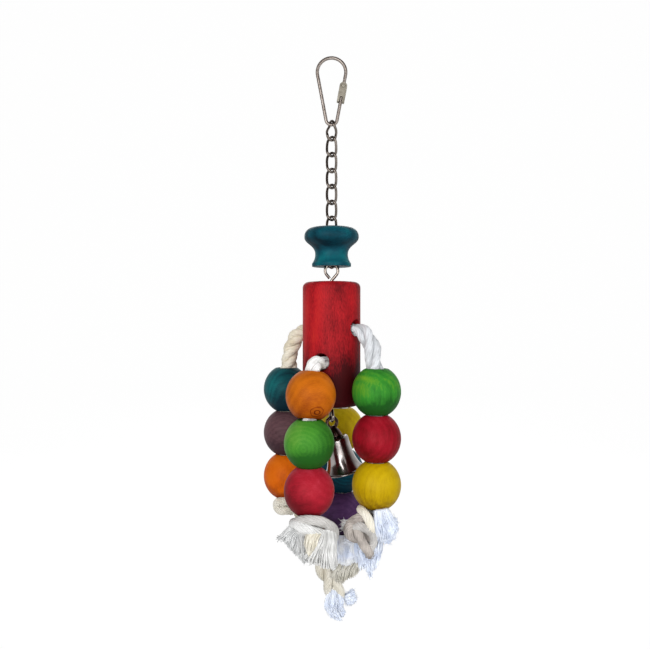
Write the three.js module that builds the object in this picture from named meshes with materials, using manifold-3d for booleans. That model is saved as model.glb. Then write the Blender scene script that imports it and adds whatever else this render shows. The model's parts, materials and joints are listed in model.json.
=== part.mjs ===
// A hanging shredding toy for pet birds, in millimetres, +Z up.
// It hangs on a cage bar by a pear-shaped clip. Below the clip come a chain, a turned knob, a drilled
// dowel with two ropes through it, four strings of wooden beads that end in knots, and a bell.
// The origin is the inner top of the clip, where the bar sits. The front faces -Y.
// Azimuths are in degrees, from the front (-Y) towards +X.

import * as THREE from "three";
import { mergeVertices } from "three/addons/utils/BufferGeometryUtils.js";
import Module from "manifold-3d";

const wasm = await Module();
wasm.setup();

// Driving dimensions: shared
const seatGap = 0.3; // clearance where two pieces touch

// Driving dimensions: clip
const clipWire = 1.8;
const clipTopRadius = 7.4; // of the wire's centreline
const clipBottomRadius = 2.9; // of the wire's centreline
const clipArcSpacing = 24.4; // between the centres of the two arcs
const claspTop = 6.2; // from the top of the straight leg down to the rivet
const claspLength = 10.4;
const claspWidth = 3.9;
const claspSheet = 0.5;
const claspNotchWidth = 1.5;
const claspNotchDepth = 2.2;
const claspOverlap = 3.4; // how far the lower wire end reaches up into the clasp
const rivetShank = 1.0;
const rivetHead = 2.0;
const rivetHeadHeight = 0.5;
const lugRim = 0.7; // metal left round the rivet's hole in the wire's flattened end

// Driving dimensions: chain
const linkWire = 1.4;
const linkInnerWidth = 3.4;
const linkInnerLength = 8.57;
const linkTwist = 45; // each end is turned by this much, one each way
const linkTurns = [-16, -8, 0, 0, 0, 0, 0, 5, 10]; // how each link has turned about the chain

// Driving dimensions: knob
const knobHeight = 20.4;
const knobBellyDiameter = 28.3;
const knobBellyDepth = 5.1; // from the top down to the widest part
const knobCrownDiameter = 15; // where the flat top starts to round over
const knobWaistDiameter = 17;
const knobWaistDepth = 14; // from the top down to the waist
const knobBaseDiameter = 20.3;
const knobBaseEdge = 1.6; // straight edge at the foot
const knobWaistRise = 0.55; // where the side leaves the waist's upright line, as a share of the rise
const knobBellyDrop = 0.4; // where it leaves the belly's, as a share of the way back down
const knobPlay = 0.8; // between the chain and the knob's bore

// Driving dimensions: screw eyes
const topEyeWire = 1.6;
const topEyeLedge = 0.2; // how far the eye stands out past the knob's bore on each side
const topEyeStand = 6; // from the eye's centre to the dowel
const bottomEyeWire = 1.4;
const bottomEyeDiameter = 6.4;
const bottomEyeStand = 5.6;
const eyeShankLength = 14; // in the wood

// Driving dimensions: dowel and ropes
const dowelDiameter = 30;
const dowelLength = 64;
const dowelEdge = 3; // rounding of the ends
const upperHoleDepth = 23.8; // from the dowel's top
const lowerHoleHeight = 23.2; // from the dowel's bottom
const upperHoleAzimuth = 57;
const lowerHoleAzimuth = -22;
const ropeDiameter = 8;
const ropeHolePlay = 0.5; // round the rope, in the dowel
const ropeCoreInset = 2; // how far the rope in the hole ends inside the dowel's side
const ropeBendRadius = 4.3; // radius where a rope turns down out of its hole
const ropeOut = 0.6; // from the dowel's side to the start of that bend
const rightLeadDrop = 20.1; // from the rope's hole down to the top of the string's first bead
const backLeadDrop = 27.3;
const leftLeadDrop = 21.3;
const ropeSettleRadius = 20; // radius where a slanting rope comes upright above its beads

// Driving dimensions: beads
const beadDiameter = 24.4;
const beadHeight = 22.9;
const beadFlatDiameter = 11.4;
const beadBorePlay = 0.8; // round the rope

// Driving dimensions: knots and frayed ends
const knotCoreDiameter = 15;
const knotCoreHeight = 14;
const knotWrapDiameter = 13; // of the rope's centreline round the knot
const knotWrapOffset = 2; // of the two wraps, above and below the knot's middle
const knotWrapLean = 17;
const knotWrapTurns = [20, 75]; // about the knot, of the upper and the lower wrap
const tuftRootDiameter = 12;
const tuftRootHeight = 4;
const yarnBunchDiameter = 8;
const yarnTipDiameter = 5.5;
const yarnLength = 10; // of the shortest bunch
const tailLength = 26;
const tailCurlDiameter = 10.5; // curled yarn at the end of a tail

// Driving dimensions: bell
const bellRingWire = 1.7;
const bellRingDiameter = 7; // outside
const bellCollarTop = 2.4; // this and the next depths are from the ring's centre
const bellCollarBottom = 7.1;
const bellCollarDiameter = 7.2;
const bellCollarEdge = 0.5;
const bellNeckTopDiameter = 2.6;
const bellNeckDiameter = 4.8;
const bellNeckDepth = 4;
const bellRim = 26;
const bellRimDiameter = 20.6;
const bellShoulderDiameter = 12.8;
const bellShoulderEdge = 1.8; // bevel round the top of the shell
const bellFlareEven = 0.12; // share of the flare that is even; the rest comes near the rim
const bellFlarePower = 3.4;
const bellWall = 0.8;
const bellTilt = 15; // the bell hangs askew, caught between the strings
const bellTiltTurn = 17.5; // of the side that its mouth leans to, from +X towards +Y
const bellStem = 2; // diameter of the stem through the shell
const bellStemReach = 9; // depth where the stem ends in the clapper's eye
const clapperEyeWire = 0.9;
const clapperEyeDiameter = 3.4;
const clapperRingWire = 0.8;
const clapperRingDiameter = 3.2;
const clapperBall = 4.2;
const clapperLength = 5; // from the eye's wire to the ball's centre

// Strings of beads: the rope's hole, the drop from it to the top of the first bead, and the frayed end.
// A first bead that leans starts where the rope's bend ends, so it needs no drop. A string's sway is how
// far its beads hang round the dowel from the line of the hole, in degrees.
// A bunch of yarn has an azimuth, a lean from straight down, and a length as a multiple of the shortest.
const upperHole = { depth: upperHoleDepth, azimuth: upperHoleAzimuth };
const lowerHole = { depth: dowelLength - lowerHoleHeight, azimuth: lowerHoleAzimuth };
const strings = [
  {
    name: "front",
    hole: lowerHole,
    side: 0,
    firstBeadTilt: 10,
    beads: ["orange", "green", "crimson"],
    bunches: [
      [-85, 48, 1.3],
      [-50, 24, 1.5],
      [0, 20, 1.5],
      [60, 16, 1.6],
      [170, 22, 1.3],
    ],
  },
  {
    name: "right",
    hole: upperHole,
    side: 0,
    leadDrop: rightLeadDrop,
    sway: -3,
    beads: ["green", "crimson", "yellow"],
    bunches: [
      [80, 62, 1],
      [-80, 55, 1.2],
      [30, 14, 2.1],
      [-40, 20, 1.7],
      [160, 24, 1.6],
    ],
  },
  {
    name: "back",
    hole: lowerHole,
    side: 180,
    leadDrop: backLeadDrop,
    sway: 10,
    beads: ["yellow", "teal", "purple"],
    bunches: [
      [-15, 42, 1.3],
      [60, 40, 1.4],
      [130, 45, 1.1],
      [-90, 45, 1.1],
      [-160, 40, 1.2],
    ],
    tail: { azimuth: -70, lean: 20 },
  },
  {
    name: "left",
    hole: upperHole,
    side: 180,
    leadDrop: leftLeadDrop,
    sway: 4,
    beads: ["teal", "plum", "orange"],
    bunches: [
      [-60, 32, 1.3],
      [-110, 20, 1.5],
      [60, 26, 1.3],
      [150, 25, 1.4],
      [0, 14, 1.6],
    ],
  },
];

const degrees = THREE.MathUtils.degToRad;
const toy = new THREE.Group();

// Finishes
const metal = (color, roughness) => ({ color, roughness, metalness: 1 });
const stainedWood = (color) => ({ color, roughness: 0.45, metalness: 0 });
const finishes = {
  clipSteel: metal(0x8f8578, 0.35),
  claspSteel: metal(0xb9b6ae, 0.4),
  chainNickel: metal(0x77706a, 0.35),
  eyeChrome: metal(0xd8d8d6, 0.15),
  bellChrome: metal(0xd9d9da, 0.1),
  cotton: { color: 0xe6e1d8, roughness: 0.95, metalness: 0 },
  knobTeal: stainedWood(0x1f5f75),
  dowelRed: stainedWood(0xb0282f),
  orange: stainedWood(0xd67a22),
  green: stainedWood(0x3f9a38),
  crimson: stainedWood(0xc42a4c),
  yellow: stainedWood(0xcfae0c),
  teal: stainedWood(0x0e5c6b),
  plum: stainedWood(0x5a3f52),
  purple: stainedWood(0x47295a),
};

// A closed geometry as a solid that can be joined and cut.
function solidOf(geometry) {
  const bare = new THREE.BufferGeometry();
  bare.setAttribute("position", geometry.getAttribute("position"));
  bare.setIndex(geometry.index);
  const merged = mergeVertices(bare, 1e-3);
  const corners = merged.index.array;
  const triangles = [];
  for (let i = 0; i < corners.length; i += 3) {
    const [a, b, c] = corners.slice(i, i + 3);
    if (a !== b && b !== c && c !== a) triangles.push(a, b, c);
  }
  const vertProperties = merged.getAttribute("position").array;
  const mesh = new wasm.Mesh({ numProp: 3, vertProperties, triVerts: new Uint32Array(triangles) });
  return new wasm.Manifold(mesh);
}

function geometryOf(solid) {
  const { vertProperties, triVerts } = solid.getMesh();
  const geometry = new THREE.BufferGeometry();
  geometry.setAttribute("position", new THREE.BufferAttribute(vertProperties, 3));
  geometry.setIndex(new THREE.BufferAttribute(triVerts, 1));
  geometry.computeVertexNormals();
  return geometry;
}

const join = (...geometries) =>
  geometryOf(geometries.map(solidOf).reduce((whole, piece) => whole.add(piece)));

const cut = (geometry, ...tools) =>
  geometryOf(tools.map(solidOf).reduce((whole, tool) => whole.subtract(tool), solidOf(geometry)));

function addMesh(parent, name, geometry, finish) {
  const mesh = new THREE.Mesh(geometry, new THREE.MeshStandardMaterial(finishes[finish]));
  mesh.name = name;
  parent.add(mesh);
  return mesh;
}

// A solid of revolution about Z, from [radius, height] points that close on themselves or on the axis.
function turned(profile, segments) {
  const outline = profile.map(([radius, height]) => new THREE.Vector2(radius, height));
  if (THREE.ShapeUtils.isClockWise(outline)) outline.reverse();
  if (outline.every((point) => point.x > 0)) outline.push(outline[0].clone());
  return geometryOf(solidOf(new THREE.LatheGeometry(outline, segments).rotateX(Math.PI / 2)));
}

// A round bar along Z, from one height to another.
function bar(diameter, low, high, sides) {
  const geometry = new THREE.CylinderGeometry(diameter / 2, diameter / 2, high - low, sides);
  return geometry.rotateX(Math.PI / 2).translate(0, 0, (low + high) / 2);
}

// A wire or rope of one diameter along a path.
function tube(path, diameter, steps, sides) {
  const section = new THREE.Shape();
  for (let i = 0; i < sides; i += 1) {
    const angle = (2 * Math.PI * i) / sides;
    const corner = [(Math.cos(angle) * diameter) / 2, (Math.sin(angle) * diameter) / 2];
    if (i === 0) section.moveTo(...corner);
    else section.lineTo(...corner);
  }
  section.closePath();
  return new THREE.ExtrudeGeometry(section, { extrudePath: path, steps, bevelEnabled: false });
}

// An arc in the XZ plane, with angles from +X towards +Z.
class UprightArc extends THREE.Curve {
  constructor(x, z, radius, start, end) {
    super();
    Object.assign(this, { x, z, radius, start, end });
  }

  getPoint(t, target = new THREE.Vector3()) {
    const angle = this.start + (this.end - this.start) * t;
    return target.set(
      this.x + this.radius * Math.cos(angle),
      0,
      this.z + this.radius * Math.sin(angle),
    );
  }
}

const upright = (x, z) => new THREE.Vector3(x, 0, z);

function pathOf(...curves) {
  const path = new THREE.CurvePath();
  curves.forEach((curve) => path.add(curve));
  return path;
}

// Clip: a pear of wire whose right leg is closed by a hinged clasp
const clipTopCentre = clipWire / 2 - clipTopRadius;
const clipBottomCentre = clipTopCentre - clipArcSpacing;
const clipBottomWire = clipBottomCentre - clipBottomRadius;
const legLean = Math.asin((clipTopRadius - clipBottomRadius) / clipArcSpacing);
const legLength = clipArcSpacing * Math.cos(legLean);
const legTop = upright(
  clipTopRadius * Math.cos(legLean),
  clipTopCentre - clipTopRadius * Math.sin(legLean),
);
const legDown = upright(-Math.sin(legLean), -Math.cos(legLean));
const onRightLeg = (distance) => legTop.clone().addScaledVector(legDown, distance);
const rivetPoint = onRightLeg(claspTop);
const rivetHole = rivetShank + 2 * seatGap;
const lugDiameter = rivetHole + 2 * lugRim;
const claspChannel = clipWire + 2 * seatGap;
const claspDepth = claspChannel + 2 * claspSheet;
const claspFoot = claspWidth / 2 - claspLength; // height of the clasp's lower end, from the rivet

function clipWireGeometry() {
  const lowerEnd = claspTop - claspFoot - claspOverlap;
  const mirrored = ({ x, z }) => upright(-x, z);
  const rightFoot = onRightLeg(legLength);
  const path = pathOf(
    new THREE.LineCurve3(rivetPoint, legTop),
    new UprightArc(0, clipTopCentre, clipTopRadius, -legLean, Math.PI + legLean),
    new THREE.LineCurve3(mirrored(legTop), mirrored(rightFoot)),
    new UprightArc(0, clipBottomCentre, clipBottomRadius, Math.PI + legLean, 2 * Math.PI - legLean),
    new THREE.LineCurve3(rightFoot, onRightLeg(lowerEnd)),
  );
  const across = (diameter, length) =>
    new THREE.CylinderGeometry(diameter / 2, diameter / 2, length, 12).translate(
      rivetPoint.x,
      0,
      rivetPoint.z,
    );
  const wire = join(tube(path, clipWire, 48, 6), across(lugDiameter, clipWire));
  return cut(wire, across(rivetHole, 2 * clipWire));
}

// Two cheeks with a rivet hole and a notch, joined by a web on the side that faces into the clip.
function claspGeometry() {
  const half = claspWidth / 2;
  const cheek = new THREE.Shape();
  cheek.moveTo(half, 0);
  cheek.absarc(0, 0, half, 0, Math.PI, false);
  cheek.lineTo(-half, claspFoot);
  cheek.lineTo(-claspNotchWidth / 2, claspFoot);
  cheek.lineTo(-claspNotchWidth / 2, claspFoot + claspNotchDepth);
  cheek.absarc(0, claspFoot + claspNotchDepth, claspNotchWidth / 2, Math.PI, 0, true);
  cheek.lineTo(claspNotchWidth / 2, claspFoot);
  cheek.lineTo(half, claspFoot);
  cheek.closePath();
  const hole = new THREE.Path().absarc(0, 0, rivetHole / 2, 0, 2 * Math.PI, true);
  cheek.holes.push(hole);
  const cheekAt = (y) =>
    new THREE.ExtrudeGeometry(cheek, { depth: claspSheet, bevelEnabled: false, curveSegments: 5 })
      .rotateX(Math.PI / 2)
      .translate(0, y, 0);
  const webTop = -half - seatGap;
  const web = new THREE.BoxGeometry(claspSheet, claspDepth, webTop - claspFoot).translate(
    claspSheet / 2 - half,
    0,
    (webTop + claspFoot) / 2,
  );
  return join(cheekAt(claspDepth / 2), cheekAt(claspSheet - claspDepth / 2), web);
}

function rivetGeometry() {
  const shankHalf = claspDepth / 2 + seatGap;
  const end = shankHalf + rivetHeadHeight;
  const profile = [
    [0, -end],
    [rivetHead / 2, -end],
    [rivetHead / 2, -shankHalf],
    [rivetShank / 2, -shankHalf],
    [rivetShank / 2, shankHalf],
    [rivetHead / 2, shankHalf],
    [rivetHead / 2, end],
    [0, end],
  ];
  return turned(profile, 12).rotateX(Math.PI / 2);
}

addMesh(toy, "clip_wire", clipWireGeometry(), "clipSteel");
const claspGroup = new THREE.Group();
claspGroup.position.copy(rivetPoint);
claspGroup.rotation.y = legLean;
toy.add(claspGroup);
addMesh(claspGroup, "clip_clasp", claspGeometry(), "claspSteel");
addMesh(claspGroup, "clip_rivet", rivetGeometry(), "claspSteel");

// Chain: twisted links, each with flat round bows at its ends and a twist in its straight legs
const linkBow = (linkInnerWidth + linkWire) / 2;
const linkHalf = (linkInnerLength + linkWire) / 2;
const linkPitch = linkInnerLength - seatGap;
const firstLink = clipBottomWire + clipWire / 2 + seatGap + linkWire / 2 - linkHalf;

class LinkCurve extends THREE.Curve {
  getPoint(t, target = new THREE.Vector3()) {
    const leg = linkHalf - linkBow;
    const quarter = leg + (Math.PI * linkBow) / 2;
    const distance = 4 * quarter * t;
    const lower = distance > 2 * quarter ? -1 : 1; // the second half mirrors the first
    const along = distance - (lower < 0 ? 2 * quarter : 0);
    const bowAngle = THREE.MathUtils.clamp((along - leg) / linkBow, 0, Math.PI);
    const legPart = along < leg ? along : leg - Math.max(along - leg - Math.PI * linkBow, 0);
    const x = lower * linkBow * Math.cos(bowAngle);
    const z = lower * (legPart + linkBow * Math.sin(bowAngle));
    const turn = -degrees(linkTwist) * Math.sign(z) * THREE.MathUtils.smoothstep(Math.abs(z), 0, leg);
    return target.set(x * Math.cos(turn), x * Math.sin(turn), z);
  }
}

const linkGeometry = new THREE.TubeGeometry(new LinkCurve(), 26, linkWire / 2, 6, true);
linkTurns.forEach((turn, i) => {
  const link = addMesh(toy, `chain_link_${i + 1}`, linkGeometry, "chainNickel");
  link.position.z = firstLink - i * linkPitch;
  link.rotation.z = degrees(turn);
});
const lastBow = firstLink - (linkTurns.length - 1) * linkPitch - linkHalf;

// Screw eyes: one wire that runs up from its shank round a loop and stops short of itself, with the
// loop's ring centred on the origin
function eyeGeometry(wire, radius, stand) {
  const neck = wire / 2 - stand; // height where the shank ends
  const half = Math.asin(radius / -neck);
  const shankTip = upright(0, -stand - eyeShankLength);
  const shankTop = upright(0, neck);
  const rightTouch = upright(radius * Math.cos(half), -radius * Math.sin(half));
  const leftTouch = upright(-rightTouch.x, rightTouch.z);
  const shortfall = (wire + seatGap) / (2 * Math.sin(half));
  const loopEnd = shankTop.clone().add(upright(-Math.sin(half), Math.cos(half)).setLength(shortfall));
  const path = pathOf(
    new THREE.LineCurve3(shankTip, shankTop),
    new THREE.LineCurve3(shankTop, rightTouch),
    new UprightArc(0, 0, radius, -half, Math.PI + half),
    new THREE.LineCurve3(leftTouch, loopEnd),
  );
  return tube(path, wire, 36, 6);
}

const knobBore = linkInnerWidth + 2 * linkWire + 2 * knobPlay;
const topEyeRadius = knobBore / 2 + topEyeLedge - topEyeWire / 2;
const topEyeCentre = lastBow + linkWire / 2 + seatGap + topEyeWire / 2 - topEyeRadius;
const dowelTop = topEyeCentre - topEyeStand;
const dowelBottom = dowelTop - dowelLength;
const bottomEyeRadius = (bottomEyeDiameter - bottomEyeWire) / 2;
const bottomEyeCentre = dowelBottom - bottomEyeStand;

const topEye = addMesh(
  toy,
  "top_screw_eye",
  eyeGeometry(topEyeWire, topEyeRadius, topEyeStand),
  "eyeChrome",
);
topEye.position.z = topEyeCentre;

const bottomEye = addMesh(
  toy,
  "bottom_screw_eye",
  eyeGeometry(bottomEyeWire, bottomEyeRadius, bottomEyeStand),
  "eyeChrome",
);
bottomEye.position.z = bottomEyeCentre;
bottomEye.rotation.set(Math.PI, 0, degrees(90 + bellTiltTurn));

// Knob: a turned spool that sits on the top eye, with the last links of the chain in its bore
const eyeOutside = topEyeRadius + topEyeWire / 2 + seatGap;
const knobFoot = topEyeCentre + Math.sqrt(eyeOutside ** 2 - (knobBore / 2) ** 2);

function knobGeometry() {
  const belly = knobBellyDiameter / 2;
  const crown = knobCrownDiameter / 2;
  const waist = knobWaistDiameter / 2;
  const base = knobBaseDiameter / 2;
  const bellyHeight = knobHeight - knobBellyDepth;
  const waistHeight = knobHeight - knobWaistDepth;
  const outline = new THREE.Path();
  outline.moveTo(base, 0);
  outline.lineTo(base, knobBaseEdge);
  outline.quadraticCurveTo(waist, (knobBaseEdge + waistHeight) / 2, waist, waistHeight);
  outline.bezierCurveTo(
    waist,
    THREE.MathUtils.lerp(waistHeight, bellyHeight, knobWaistRise),
    belly,
    THREE.MathUtils.lerp(bellyHeight, waistHeight, knobBellyDrop),
    belly,
    bellyHeight,
  );
  outline.quadraticCurveTo(belly, knobHeight, crown, knobHeight);
  const profile = outline.getPoints(4).map(({ x, y }) => [x, y]);
  profile.push([knobBore / 2, knobHeight], [knobBore / 2, 0]);
  return turned(profile, 24);
}

const knob = addMesh(toy, "knob", knobGeometry(), "knobTeal");
knob.position.z = knobFoot;

// Dowel: a round block with two cross holes for the ropes and a pilot hole in each end
const dowelRadius = dowelDiameter / 2;
const ropeHole = ropeDiameter + 2 * ropeHolePlay;
const holeHeight = ({ depth }) => dowelTop - depth;
const turnOf = (azimuth) => degrees(azimuth - 90); // about Z, from +X to that azimuth

function dowelGeometry() {
  const outline = new THREE.Path();
  outline.moveTo(0, dowelBottom);
  outline.lineTo(dowelRadius - dowelEdge, dowelBottom);
  outline.absarc(dowelRadius - dowelEdge, dowelBottom + dowelEdge, dowelEdge, -Math.PI / 2, 0, false);
  outline.lineTo(dowelRadius, dowelTop - dowelEdge);
  outline.absarc(dowelRadius - dowelEdge, dowelTop - dowelEdge, dowelEdge, 0, Math.PI / 2, false);
  outline.lineTo(0, dowelTop);
  const profile = outline.getPoints(3).map(({ x, y }) => [x, y]);
  const crossHole = (hole) =>
    bar(ropeHole, -dowelDiameter, dowelDiameter, 14)
      .rotateY(Math.PI / 2)
      .rotateZ(turnOf(hole.azimuth))
      .translate(0, 0, holeHeight(hole));
  const pilot = (wire, low, high) => bar(wire + 2 * seatGap, low, high, 8);
  const pilotDepth = eyeShankLength + seatGap;
  return cut(
    turned(profile, 28),
    crossHole(upperHole),
    crossHole(lowerHole),
    pilot(topEyeWire, dowelTop - pilotDepth, dowelTop + pilotDepth),
    pilot(bottomEyeWire, dowelBottom - pilotDepth, dowelBottom + pilotDepth),
  );
}

addMesh(toy, "dowel", dowelGeometry(), "dowelRed");

// Ropes: one runs through each cross hole and carries a string of beads at each end
function ropeCore(name, hole) {
  const half = dowelRadius - ropeCoreInset;
  const core = addMesh(toy, name, bar(ropeDiameter, -half, half, 8).rotateY(Math.PI / 2), "cotton");
  core.position.z = holeHeight(hole);
  core.rotation.z = turnOf(hole.azimuth);
}

ropeCore("upper_rope_core", upperHole);
ropeCore("lower_rope_core", lowerHole);

// Bead: a drilled ball with a flat at each end
const beadHalf = beadHeight / 2;

function beadGeometry() {
  const radius = beadDiameter / 2;
  const flatAngle = Math.acos(beadFlatDiameter / beadDiameter);
  const roundHalf = beadHalf / Math.sin(flatAngle);
  const bore = ropeDiameter / 2 + beadBorePlay;
  const steps = 6;
  const profile = [[bore, -beadHalf]];
  for (let i = 0; i <= steps; i += 1) {
    const angle = flatAngle * ((2 * i) / steps - 1);
    profile.push([radius * Math.cos(angle), roundHalf * Math.sin(angle)]);
  }
  profile.push([bore, beadHalf]);
  return turned(profile, 16);
}

const beadSolid = beadGeometry();

// Knot: a core with two slanting wraps of rope round it, with its top at the origin
const wrapLean = degrees(knotWrapLean);
const wrapHalf = knotWrapOffset + ropeDiameter / 2 + (knotWrapDiameter / 2) * Math.sin(wrapLean);
const knotHalf = Math.max(wrapHalf, knotCoreHeight / 2);

function knotGeometry() {
  const core = new THREE.SphereGeometry(knotCoreDiameter / 2, 10, 6);
  core.scale(1, knotCoreHeight / knotCoreDiameter, 1).rotateX(Math.PI / 2);
  const wrap = (lean, turn, height) =>
    new THREE.TorusGeometry(knotWrapDiameter / 2, ropeDiameter / 2, 7, 14)
      .rotateX(lean)
      .rotateZ(turn)
      .translate(0, 0, height);
  return join(
    core,
    wrap(wrapLean, degrees(knotWrapTurns[0]), knotWrapOffset),
    wrap(-wrapLean, degrees(knotWrapTurns[1]), -knotWrapOffset),
  ).translate(0, 0, -knotHalf);
}

const knotSolid = knotGeometry();

// Frayed end: bunches of yarn that fan out of a short root, with its top at the origin.
// A tail, where there is one, is a length of rope among the bunches that still holds together.
function tuftGeometry(bunches, tail) {
  const leaning = (geometry, azimuth, lean) =>
    geometry
      .rotateY(-degrees(lean))
      .rotateZ(turnOf(azimuth))
      .translate(0, 0, -tuftRootHeight / 2);
  const root = bar(tuftRootDiameter, -tuftRootHeight, 0, 10);
  const fan = bunches.map(([azimuth, lean, share]) => {
    const length = share * yarnLength;
    const bunch = new THREE.CylinderGeometry(yarnBunchDiameter / 2, yarnTipDiameter / 2, length, 7);
    return leaning(bunch.rotateX(Math.PI / 2).translate(0, 0, -length / 2), azimuth, lean);
  });
  if (tail) {
    const rope = bar(ropeDiameter, -tailLength, 0, 10);
    const curl = new THREE.SphereGeometry(tailCurlDiameter / 2, 10, 8).translate(0, 0, -tailLength);
    fan.push(leaning(rope, tail.azimuth, tail.lean), leaning(curl, tail.azimuth, tail.lean));
  }
  return join(root, ...fan);
}

// The slant of a rope that turns down out of its hole and settles upright above its beads: the lean
// of the line that touches both bends.
function slantBetween(bendStart, end) {
  const across = end.x - bendStart - ropeSettleRadius;
  const down = -end.z - ropeBendRadius;
  const turn = Math.acos((ropeBendRadius - ropeSettleRadius) / Math.hypot(across, down));
  return turn - Math.atan2(down, across);
}

// A string is built in its own group: +X runs outwards to its beads, and the origin is on the dowel's
// axis at the height of the hole.
function addString({ name, hole, side, leadDrop, sway = 0, firstBeadTilt = 0, beads, bunches, tail }) {
  const group = new THREE.Group();
  group.position.z = holeHeight(hole);
  group.rotation.z = turnOf(hole.azimuth + side + sway);
  toy.add(group);

  // The first bead leans on the dowel, and the others hang below its lower end
  const tilt = degrees(firstBeadTilt);
  const beadAxis = upright(Math.sin(tilt), -Math.cos(tilt));
  const bendDrop = ropeBendRadius * (1 - Math.sin(tilt)) + 3 * seatGap;
  const firstTop = upright(
    dowelRadius + seatGap + beadDiameter / 2 - beadHalf * Math.sin(tilt),
    -(leadDrop ?? bendDrop),
  );
  const first = firstTop.clone().addScaledVector(beadAxis, beadHalf);
  const firstFoot = first.clone().addScaledVector(beadAxis, beadHalf);
  const beadPitch = beadHeight + seatGap;
  const secondTop = firstFoot.z - (beadFlatDiameter / 2) * Math.sin(tilt) - seatGap;
  const centres = beads.map((_, i) =>
    i === 0 ? first : upright(firstFoot.x, secondTop - beadHalf - (i - 1) * beadPitch),
  );
  centres.forEach((centre, i) => {
    const bead = addMesh(group, `${name}_bead_${i + 1}_${beads[i]}`, beadSolid, beads[i]);
    bead.position.copy(centre);
    bead.rotation.y = i === 0 ? -tilt : 0;
  });
  const stringFoot = centres.at(-1).z - beadHalf;

  // The lead leaves the hole level, turns down at a slant and comes in line with the first bead
  const leadEnd = firstTop.clone().addScaledVector(beadAxis, -2 * seatGap);
  const lean = tilt || slantBetween(dowelRadius + ropeOut, leadEnd);
  const slantDown = upright(Math.sin(lean), -Math.cos(lean));
  const settleCentre = upright(
    leadEnd.x - ropeSettleRadius * Math.cos(tilt),
    leadEnd.z - ropeSettleRadius * Math.sin(tilt),
  );
  const slantFoot = upright(
    settleCentre.x + ropeSettleRadius * Math.cos(lean),
    settleCentre.z + ropeSettleRadius * Math.sin(lean),
  );
  const slantLength = (-slantFoot.z - ropeBendRadius * (1 - Math.sin(lean))) / Math.cos(lean);
  const slantTop = slantFoot.clone().addScaledVector(slantDown, -slantLength);
  const bendStart = slantTop.x - ropeBendRadius * Math.cos(lean);
  const curves = [
    new THREE.LineCurve3(upright(dowelRadius - ropeCoreInset + seatGap, 0), upright(bendStart, 0)),
    new UprightArc(bendStart, -ropeBendRadius, ropeBendRadius, Math.PI / 2, lean),
    new THREE.LineCurve3(slantTop, slantFoot),
  ];
  if (lean > tilt) {
    curves.push(new UprightArc(settleCentre.x, settleCentre.z, ropeSettleRadius, lean, tilt));
  }
  const upAxis = upright(0, 1);
  const swayed = (point) => {
    const settled = THREE.MathUtils.smoothstep(point.x, dowelRadius, leadEnd.x);
    return point.applyAxisAngle(upAxis, degrees(sway) * (settled - 1));
  };
  const leadPoints = pathOf(...curves).getSpacedPoints(20).map(swayed);
  const lead = new THREE.CatmullRomCurve3(leadPoints);
  addMesh(group, `${name}_rope_lead`, tube(lead, ropeDiameter, 14, 8), "cotton");

  // The run goes down through the beads to the knot
  const runTop = firstTop.clone().addScaledVector(beadAxis, -seatGap);
  const runFoot = upright(firstFoot.x, stringFoot);
  const turnPoint = upright(firstFoot.x, (firstFoot.z + secondTop) / 2);
  const run = tilt
    ? new THREE.CatmullRomCurve3([runTop, first, firstFoot, turnPoint, centres[1], runFoot])
    : new THREE.LineCurve3(runTop, runFoot);
  addMesh(group, `${name}_rope_run`, tube(run, ropeDiameter, tilt ? 16 : 4, 8), "cotton");

  const knot = addMesh(group, `${name}_knot`, knotSolid, "cotton");
  knot.position.copy(runFoot).z -= seatGap;
  const tuft = addMesh(group, `${name}_frayed_end`, tuftGeometry(bunches, tail), "cotton");
  tuft.position.copy(knot.position).z -= 2 * knotHalf + seatGap;
  tuft.rotation.z = -group.rotation.z;
}

strings.forEach(addString);

// Bell: hung askew in the bottom eye. Depths run down its axis from the centre of its crown ring.
const bellRingRadius = (bellRingDiameter - bellRingWire) / 2;
const bellPivot = bottomEyeCentre - bottomEyeRadius;
const ringBelowPivot = bellRingRadius - bottomEyeWire / 2 - bellRingWire / 2 - seatGap;
const stemHole = bellStem + 2 * seatGap;
const shellTop = bellCollarBottom + seatGap;
const clapperEyeRadius = (clapperEyeDiameter - clapperEyeWire) / 2;
const clapperEyeDepth = bellStemReach + clapperEyeRadius;
const clapperPivot = clapperEyeDepth + clapperEyeRadius;

const bellTurn = new THREE.Group();
bellTurn.position.z = bellPivot;
bellTurn.rotation.z = degrees(bellTiltTurn);
toy.add(bellTurn);
const bellLean = new THREE.Group();
bellLean.rotation.y = -degrees(bellTilt);
bellTurn.add(bellLean);
const bell = new THREE.Group();
bell.position.z = -ringBelowPivot;
bellLean.add(bell);

// The crown is one casting: hanging ring, flared collar, and a stem that ends in the clapper's eye.
function bellCrownGeometry() {
  const ring = new THREE.TorusGeometry(bellRingRadius, bellRingWire / 2, 6, 18).rotateX(Math.PI / 2);
  const neck = bellNeckDiameter / 2;
  const collar = bellCollarDiameter / 2;
  const stem = bellStem / 2;
  const profile = [
    [0, -bellCollarTop],
    [bellNeckTopDiameter / 2, -bellCollarTop],
    [neck, -bellNeckDepth],
    [collar, bellCollarEdge - bellCollarBottom],
    [collar, -bellCollarBottom],
    [stem, -bellCollarBottom],
    [stem, -bellStemReach],
    [0, -bellStemReach],
  ];
  const eye = new THREE.TorusGeometry(clapperEyeRadius, clapperEyeWire / 2, 6, 14)
    .rotateX(Math.PI / 2)
    .translate(0, 0, -clapperEyeDepth);
  return join(ring, turned(profile, 18), eye);
}

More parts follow.
